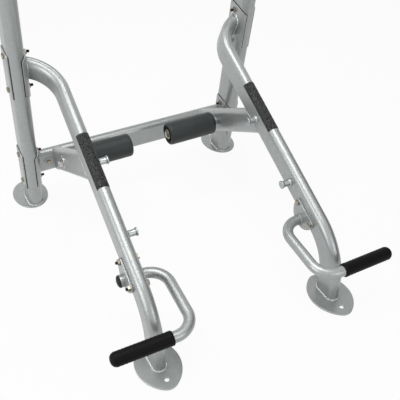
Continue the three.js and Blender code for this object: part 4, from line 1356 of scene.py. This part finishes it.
# %% Draw one of each fastener
BOLT = 10
FLATS = 17
HEAD = 6.4
NUT = 8.4
BEYOND = 6
LONG_BEYOND = 10
TIP_SUNK = 1
END_WASHER = 36
END_WASHER_THICK = 3
OUTER_AXLE_NUT = {"washer": 46, "thick": 4, "flats": 24, "tall": 12, "points": 64}
INNER_AXLE_NUT = {"washer": 39, "thick": 3, "flats": 24, "tall": 7, "points": 48}


def axle_nut(sizes):
    return merged(disc(sizes["washer"], sizes["thick"], sizes["points"]),
                  hexagon(sizes["flats"], sizes["tall"], sizes["thick"]))


fasteners = {
    "bolt_head": merged(hexagon(FLATS, HEAD)),
    "nut": merged(hexagon(FLATS, NUT)),
    "bolt_tip": merged(thread(BOLT, NUT - TIP_SUNK, NUT + BEYOND)),
    "long_bolt_tip": merged(thread(BOLT, NUT - TIP_SUNK, NUT + LONG_BEYOND)),
    "end_washer": merged(disc(END_WASHER, END_WASHER_THICK)),
    "end_head": merged(hexagon(FLATS, HEAD, END_WASHER_THICK)),
    "end_nut": merged(hexagon(FLATS, NUT, END_WASHER_THICK)),
    "outer_axle_nut": axle_nut(OUTER_AXLE_NUT),
    "inner_axle_nut": axle_nut(INNER_AXLE_NUT),
}
print({name: len(mesh.polygons) for name, mesh in fasteners.items()})

# %% [markdown]
# ## Fasteners on points, by Geometry Nodes
#
# A node tree puts a copy of a fastener on every point of a small cloud. It is turned to face the way
# that the point's own attribute says, and spun by a random but fixed angle, because nobody lines bolt
# heads up. The copies are made real at the end, because an exported model has no instances.

# %% A node tree that puts fasteners on points
bolt_tree, taken, given = geometry_tree("fasteners_on_points", [
    ("Fastener", "NodeSocketObject", None), ("Spin", NUMBER, math.pi), ("Seed", "NodeSocketInt", 7),
    ("Material", "NodeSocketMaterial", None)])
drawn = add_node(bolt_tree, "GeometryNodeObjectInfo", Object=taken.outputs["Fastener"])
facing = add_node(bolt_tree, "GeometryNodeInputNamedAttribute", {"data_type": "FLOAT_VECTOR"}, Name="facing")
aligned = add_node(bolt_tree, "FunctionNodeAlignRotationToVector", {"axis": "Z"},
                   Vector=facing.outputs["Attribute"])
chance = add_node(bolt_tree, "FunctionNodeRandomValue", {"data_type": "FLOAT"})
bolt_tree.links.new(taken.outputs["Spin"], chance.inputs[3])
bolt_tree.links.new(taken.outputs["Seed"], chance.inputs["Seed"])
about_axis = add_node(bolt_tree, "FunctionNodeAxisAngleToRotation", Axis=(0, 0, 1), Angle=chance.outputs[1])
spun = add_node(bolt_tree, "FunctionNodeRotateRotation", {"rotation_space": "LOCAL"},
                Rotation=aligned.outputs[0], Rotate_By=about_axis.outputs[0])
copies = add_node(bolt_tree, "GeometryNodeInstanceOnPoints", Points=taken.outputs["Geometry"],
                  Instance=drawn.outputs["Geometry"], Rotation=spun.outputs[0])
end_tree(bolt_tree, copies, taken, given)


def fasten(name, kind, places, finish, nodes=()):
    template_mesh = fasteners[kind].copy()
    template_mesh.transform(Matrix.Scale(MM, 4))
    template = add_object("template", template_mesh)
    cloud = new_mesh([point for point, _ in places], [])
    attribute = cloud.attributes.new("facing", "FLOAT_VECTOR", "POINT")
    for item, (_, way) in zip(attribute.data, places):
        item.vector = way
    mesh = run_tree(bolt_tree, cloud, Fastener=template, Material=finishes[finish])
    bpy.data.objects.remove(template)
    print(name, len(places), "copies")
    return add_piece(name, mesh, finish, nodes)


# %% [markdown]
# ## Where the fasteners sit
#
# Each joint has two bolts, above and below its middle, and each handle has two on its plates. The
# heads face outwards on the uprights and inwards on the legs, and the nuts and the nearly black ends of
# the bolts are on the other side. A place is written once, for the right side, and mirrored for the left.

# %% Put the fasteners on
SADDLE_BOLTS = 138


def bolt_places(home, points, way, side=1):
    home = home if side > 0 else MIRROR @ home
    return [(home @ Vector(p), (home.to_3x3() @ Vector(way)).normalized()) for p in points]


def at_x(x, points):
    return [(x, y, z) for y, z in points]


handle_points = [(-HANDLE_PLACE + end * HANDLE_BOLTS / 2, -HANDLE_BOLT_DROP) for end in (-1, 1)]
saddle_points = [(0, along - SADDLE_SAG + end * SADDLE_BOLTS / 2)
                 for along in JOINTS.values() for end in (-1, 1)]
for side, word in SIDES:
    heads = bolt_places(UPRIGHT, at_x(SADDLE_FACE, saddle_points), (1, 0, 0), side)
    heads += bolt_places(RUN, at_x(-plate_face, handle_points), (-1, 0, 0), side)
    nuts = bolt_places(UPRIGHT, at_x(-SADDLE_FACE, saddle_points), (-1, 0, 0), side)
    handle_nuts = bolt_places(RUN, at_x(plate_face, handle_points), (1, 0, 0), side)
    fasten(f"{word}_bolt_heads", "bolt_head", heads, "zinc_plate")
    fasten(f"{word}_nuts", "nut", nuts + handle_nuts, "zinc_plate")
    fasten(f"{word}_upright_bolt_tips", "long_bolt_tip", nuts, "dark_thread")
    fasten(f"{word}_handle_bolt_tips", "bolt_tip", handle_nuts, "dark_thread")
    for where, x, way, coat in (("outer", outer_seat, 1, "clear_zinc"),
                                ("inner", -inner_seat, -1, "zinc_plate")):
        places = bolt_places(ROLLER, [(x, 0, 0)], (way, 0, 0), side)
        fasten(f"{word}_{where}_axle_nut", f"{where}_axle_nut", places, coat,
               [f"{word}_roller_{where}_nut"])

# %% [markdown]
# ## Bolts at the ends of the crossmembers
#
# A long bolt goes through each end of both crossmembers, from front to back. Its wide washers are
# painted with the frame, and its head and nut are plated.

# %% Put the end bolts on
END_INSET = 37

end_x = half_span - SEAT_GAP - END_INSET
for name, kind, ways, coat in (("end_bolt_washers", "end_washer", (-1, 1), "silver_paint"),
                               ("end_bolt_heads", "end_head", (-1,), "zinc_plate"),
                               ("end_bolt_nuts", "end_nut", (1,), "zinc_plate")):
    places = []
    for way in ways:
        for y, z in ((cross_y, cross_z), (upper_y, upper_z)):
            points = [(x, way * TUBE_ACROSS / 2, 0) for x in (-end_x, end_x)]
            places += bolt_places(BASE @ spot(0, y, z), points, (0, way, 0))
    fasten(name, kind, places, coat)

# %% [markdown]
# ## Weld beads, by Geometry Nodes
#
# Wherever a tube meets a plate or another tube, a welder has laid a bead round it, a row of
# overlapping ripples about three millimetres apart, and the paint went over it. A bead is a route with
# a small round section, and the node tree swells and narrows the section along the route.

# %% A node tree for weld beads
WIDE_BEAD = 3.4
BEAD_SECTION = 10
WANDER_SCALE = 0.35

weld_tree, taken, given = geometry_tree("weld_bead", [
    ("Bead radius", NUMBER, WIDE_BEAD * MM), ("Ripple", NUMBER, 0.16), ("Pitch", NUMBER, 3.2 * MM),
    ("Step", NUMBER, 0.8 * MM), ("Material", "NodeSocketMaterial", None)])
stepped = add_node(weld_tree, "GeometryNodeResampleCurve", {"mode": "LENGTH"},
                   Curve=taken.outputs["Geometry"], Length=taken.outputs["Step"])
ring = add_node(weld_tree, "GeometryNodeCurvePrimitiveCircle", Resolution=BEAD_SECTION,
                Radius=taken.outputs["Bead radius"])
along = add_node(weld_tree, "GeometryNodeSplineParameter")
phase = math_node(weld_tree, "DIVIDE", along.outputs["Length"], taken.outputs["Pitch"])
wave = math_node(weld_tree, "SINE", math_node(weld_tree, "MULTIPLY", phase, 2 * math.pi), 0.0)
wander = add_node(weld_tree, "ShaderNodeTexNoise", {"noise_dimensions": "1D"}, W=phase, Scale=WANDER_SCALE)
swell = math_node(weld_tree, "ADD", math_node(weld_tree, "MULTIPLY", wave, taken.outputs["Ripple"]),
                  math_node(weld_tree, "ADD", wander.outputs["Fac"], MIDDLE))
bead = add_node(weld_tree, "GeometryNodeCurveToMesh", Curve=stepped.outputs[0],
                Profile_Curve=ring.outputs[0], Scale=swell, Fill_Caps=True)
end_tree(weld_tree, bead, taken, given)

# %% [markdown]
# ## Routes of the plain welds
#
# A bead runs where two surfaces meet. Round most joints that is the tube's oval or circle, a little
# larger than the tube and carried on to the plate along the tube's own direction. A route is written
# for the right side alone.

# %% Routes of the plain welds
OVAL_QUARTER = 24
WELD_PROUD = 1
RING_POINTS = 48
BESIDE_FLOOR_PLATE = 0.5
BESIDE_SADDLE = 0.2


def oval_route(wide, tall):
    radius, route = min(wide, tall) / 2, []
    shift_x, shift_y = max(wide - tall, 0) / 2, max(tall - wide, 0) / 2
    for quarter, (sx, sy) in enumerate(((1, 1), (-1, 1), (-1, -1), (1, -1))):
        for i in range(OVAL_QUARTER):
            turn = math.pi / 2 * (quarter + i / OVAL_QUARTER)
            x, y = radius * math.cos(turn), radius * math.sin(turn)
            route.append(Vector((sx * shift_x + x, sy * shift_y + y)))
    return route


def on_floor_plate(u, v):
    along = (REAR_FOOT["thick"] + BESIDE_FLOOR_PLATE - v * math.sin(LEAN)) / math.cos(LEAN)
    return UPRIGHT @ Vector((u, v, along))


def on_front_plate(u, v):
    ahead = Vector((0, math.cos(LEG_SLOPE), -math.sin(LEG_SLOPE)))
    return LEG @ (ankle + Vector((u, 0, 0)) - down * BESIDE_FLOOR_PLATE + ahead * v)


def on_leg_saddle(u, v):
    lateral = Vector((-swing_heading.y, swing_heading.x, 0))
    point = swing_corner + lateral * u + Vector((0, 0, v))
    return LEG @ (point + swing_heading * ((-TUBE_START + BESIDE_SADDLE - point.x) / swing_heading.x))


base_oval = oval_route(UPRIGHT_ACROSS + 2 * WELD_PROUD, UPRIGHT_DEEP + 2 * WELD_PROUD)
tube_oval = oval_route(TUBE_ACROSS + 2 * WELD_PROUD, TUBE_DEEP + 2 * WELD_PROUD)
weld_routes = [[on_floor_plate(*p) for p in base_oval], [on_leg_saddle(*p) for p in tube_oval],
               [on_front_plate(*p) for p in tube_oval]]
for y, z in ((cross_y, cross_z), (upper_y, upper_z)):
    joint = BASE @ spot(half_span - SEAT_GAP, y, z)
    weld_routes.append([joint @ Vector((0, p.x, p.y)) for p in tube_oval])
arm_ring = circle(DIP_TUBE / 2 + WELD_PROUD, RING_POINTS)
handle_ring = circle(HANDLE_TUBE / 2 + WELD_PROUD, RING_POINTS)
small_routes = [[DIP @ Vector((-TUBE_START, a, b)) for a, b in arm_ring],
                [LEVEL @ Vector((-plate_face - SEAT_GAP, a, b)) for a, b in handle_ring]]
print("routes for one side:", len(weld_routes), "wide and", len(small_routes), "small")

# %% [markdown]
# ## Routes round the coped ends, and all the beads
#
# The curve where a strut is coped to another tube has no simple formula, so it is read from the strut
# itself: it runs along every edge where a side of the strut meets its cut end. Only rims that go right
# round the strut count. Then all the routes are swept, with a thinner bead on the small joints.

# %% Routes round the coped ends, and the beads
STRUT_BEAD = 2.4
SMALL_BEAD = 2.2
ALONG_WALL = 0.02
NEARLY_WHOLE = 0.99


def coped_rims(mesh, axis, wide):
    work = bmesh.new()
    work.from_mesh(mesh)
    beside = {}
    for edge in work.edges:
        walls = [abs(face.normal.dot(axis)) < ALONG_WALL for face in edge.link_faces]
        if walls in ([True, False], [False, True]):
            for here, there in (edge.verts, reversed(edge.verts)):
                beside.setdefault(here, []).append(there)
    rims = []
    while beside:
        here, route = next(iter(beside)), []
        while here:
            route.append(here.co.copy())
            here = next((there for there in beside.pop(here) if there in beside), None)
        if max(p.x for p in route) - min(p.x for p in route) > wide * NEARLY_WHOLE:
            rims.append(route)
    work.free()
    return rims


strut_axis = STRUT.to_3x3().col[2].normalized()
strut_routes = coped_rims(smooth_copy("right_strut"), strut_axis, TUBE_ACROSS * MM)
print("points round the strut's ends:", [len(route) for route in strut_routes])
for name, bead_routes, radius, coat in (("weld_beads", weld_routes, WIDE_BEAD, "weld_paint"),
                                        ("strut_weld_beads", strut_routes, STRUT_BEAD, "silver_paint"),
                                        ("small_weld_beads", small_routes, SMALL_BEAD, "silver_paint")):
    for side, word in SIDES:
        routes = bead_routes if side > 0 else [[MIRROR @ p for p in route] for route in bead_routes]
        curve = poly_curve(routes, closed=True)
        mesh = run_tree(weld_tree, curve, Bead_radius=radius * MM, Material=finishes[coat])
        for polygon in mesh.polygons:
            polygon.use_smooth = True
        add_piece(f"{word}_{name}", mesh, coat)
        print(word, name, len(mesh.polygons), "faces")

# %% [markdown]
# ## The floor
#
# The photograph is a cut-out on white, so the floor is pale and takes a soft shadow. To the camera,
# and in reflections and through glass, it is a mix of its own pale paint and plain white: Light Path
# tells those rays from the rest. The lamps' light on the object isn't changed by that, because the
# diffuse rays still meet the plain floor.

# %% Floor
FLOOR_HALF = 6
FLOOR_DROP = 0.0004
FLOOR_GREY = 0.8
FLOOR_ROUGHNESS = 0.9
FLOOR_GLOW = 0.93


def shown_white(tree):
    path = add_node(tree, "ShaderNodeLightPath")
    straight = math_node(tree, "MAXIMUM", path.outputs["Is Camera Ray"], path.outputs["Is Transmission Ray"])
    return math_node(tree, "MAXIMUM", straight, path.outputs["Is Glossy Ray"])


def plain_finish(name, grey, roughness):
    material = bpy.data.materials.new(name)
    material.use_nodes = True
    shader = material.node_tree.nodes["Principled BSDF"]
    shader.inputs["Base Color"].default_value = (grey, grey, grey, 1)
    shader.inputs["Roughness"].default_value = roughness
    return material


floor_finish = plain_finish("floor_white", FLOOR_GREY, FLOOR_ROUGHNESS)
tree = floor_finish.node_tree
share = math_node(tree, "MULTIPLY", shown_white(tree), FLOOR_GLOW)
mix = add_node(tree, "ShaderNodeMixShader", Fac=share)
tree.links.new(tree.nodes["Principled BSDF"].outputs[0], mix.inputs[1])
tree.links.new(add_node(tree, "ShaderNodeEmission").outputs[0], mix.inputs[2])
tree.links.new(mix.outputs[0], tree.nodes["Material Output"].inputs["Surface"])
floor_corners = [(x * FLOOR_HALF, y * FLOOR_HALF, 0) for x, y in ((-1, -1), (1, -1), (1, 1), (-1, 1))]
floor = add_object("floor", new_mesh(floor_corners, [(0, 1, 2, 3)], "floor"))
floor.data.materials.append(floor_finish)
floor.location.z = -FLOOR_DROP
print("floor is", 2 * FLOOR_HALF, "m wide")

# %% [markdown]
# ## The world
#
# The world is plain white where the camera and reflections see it, and dimmer where it lights the
# object. A Map Range node turns the mark for those rays into the one strength or the other.

# %% World
WORLD_LEVEL = 0.28

world = bpy.data.worlds.new("studio")
bpy.context.scene.world = world
world.use_nodes = True
background = world.node_tree.nodes["Background"]
background.inputs["Color"].default_value = (1, 1, 1, 1)
strength = add_node(world.node_tree, "ShaderNodeMapRange", Value=shown_white(world.node_tree),
                    To_Min=WORLD_LEVEL, To_Max=1.0)
world.node_tree.links.new(strength.outputs["Result"], background.inputs["Strength"])
print("the world lights the object at", WORLD_LEVEL)

# %% [markdown]
# ## Lamps and flags
#
# Three broad lamps stand in for studio soft boxes: a strong one above, one on the left, and a weak one
# in front. Two dark flags, as photographers hang beside a shiny thing, give the silver tubes something
# dark to reflect. They are seen in reflections alone, so they take no light away and cast no shadow.

# %% Lamps and flags
FLAG_GREY = 0.15
LAMPS = {
    "top_soft_box": {"place": (-0.5, 0.0, 3.3), "target": (0, 0, 0.3), "size": (2.4, 2.2), "watts": 70},
    "left_soft_box": {"place": (-3.4, -0.8, 1.5), "target": (0, 0, 0.5), "size": (2.2, 2.0), "watts": 42},
    "front_fill": {"place": (0.9, -3.3, 1.4), "target": (0, 0, 0.5), "size": (1.8, 1.4), "watts": 14},
}
FLAGS = {
    "right_flag": [(2.6, -3.5, 0), (2.6, 0.5, 0), (2.6, 0.5, 2.4), (2.6, -3.5, 2.4)],
    "top_flag": [(0.0, 0.9, 3.2), (1.7, 0.9, 3.2), (1.7, 3.0, 3.2), (0.0, 3.0, 3.2)],
}

for name, sizes in LAMPS.items():
    data = bpy.data.lights.new(name, "AREA")
    data.shape = "RECTANGLE"
    data.size, data.size_y = sizes["size"]
    data.energy = sizes["watts"]
    light = add_object(name, data)
    light.location = sizes["place"]
    aim = Vector(sizes["target"]) - Vector(sizes["place"])
    light.rotation_euler = aim.to_track_quat("-Z", "Y").to_euler()
    print(name, "stands", round(aim.length, 2), "m from its target")

flag_cloth = plain_finish("flag_cloth", FLAG_GREY, roughness=1.0)
for name, corners in FLAGS.items():
    flag = add_object(name, new_mesh(corners, [(0, 1, 2, 3)], name))
    flag.data.materials.append(flag_cloth)
    flag.visible_camera = flag.visible_shadow = flag.visible_diffuse = False

# %% [markdown]
# ## The end
#
# The colours are shown as they are, with no film look.

# %% Finish the scene
bpy.context.scene.view_settings.view_transform = "Standard"
print("pieces:", counts["pieces"], "triangles:", counts["triangles"])
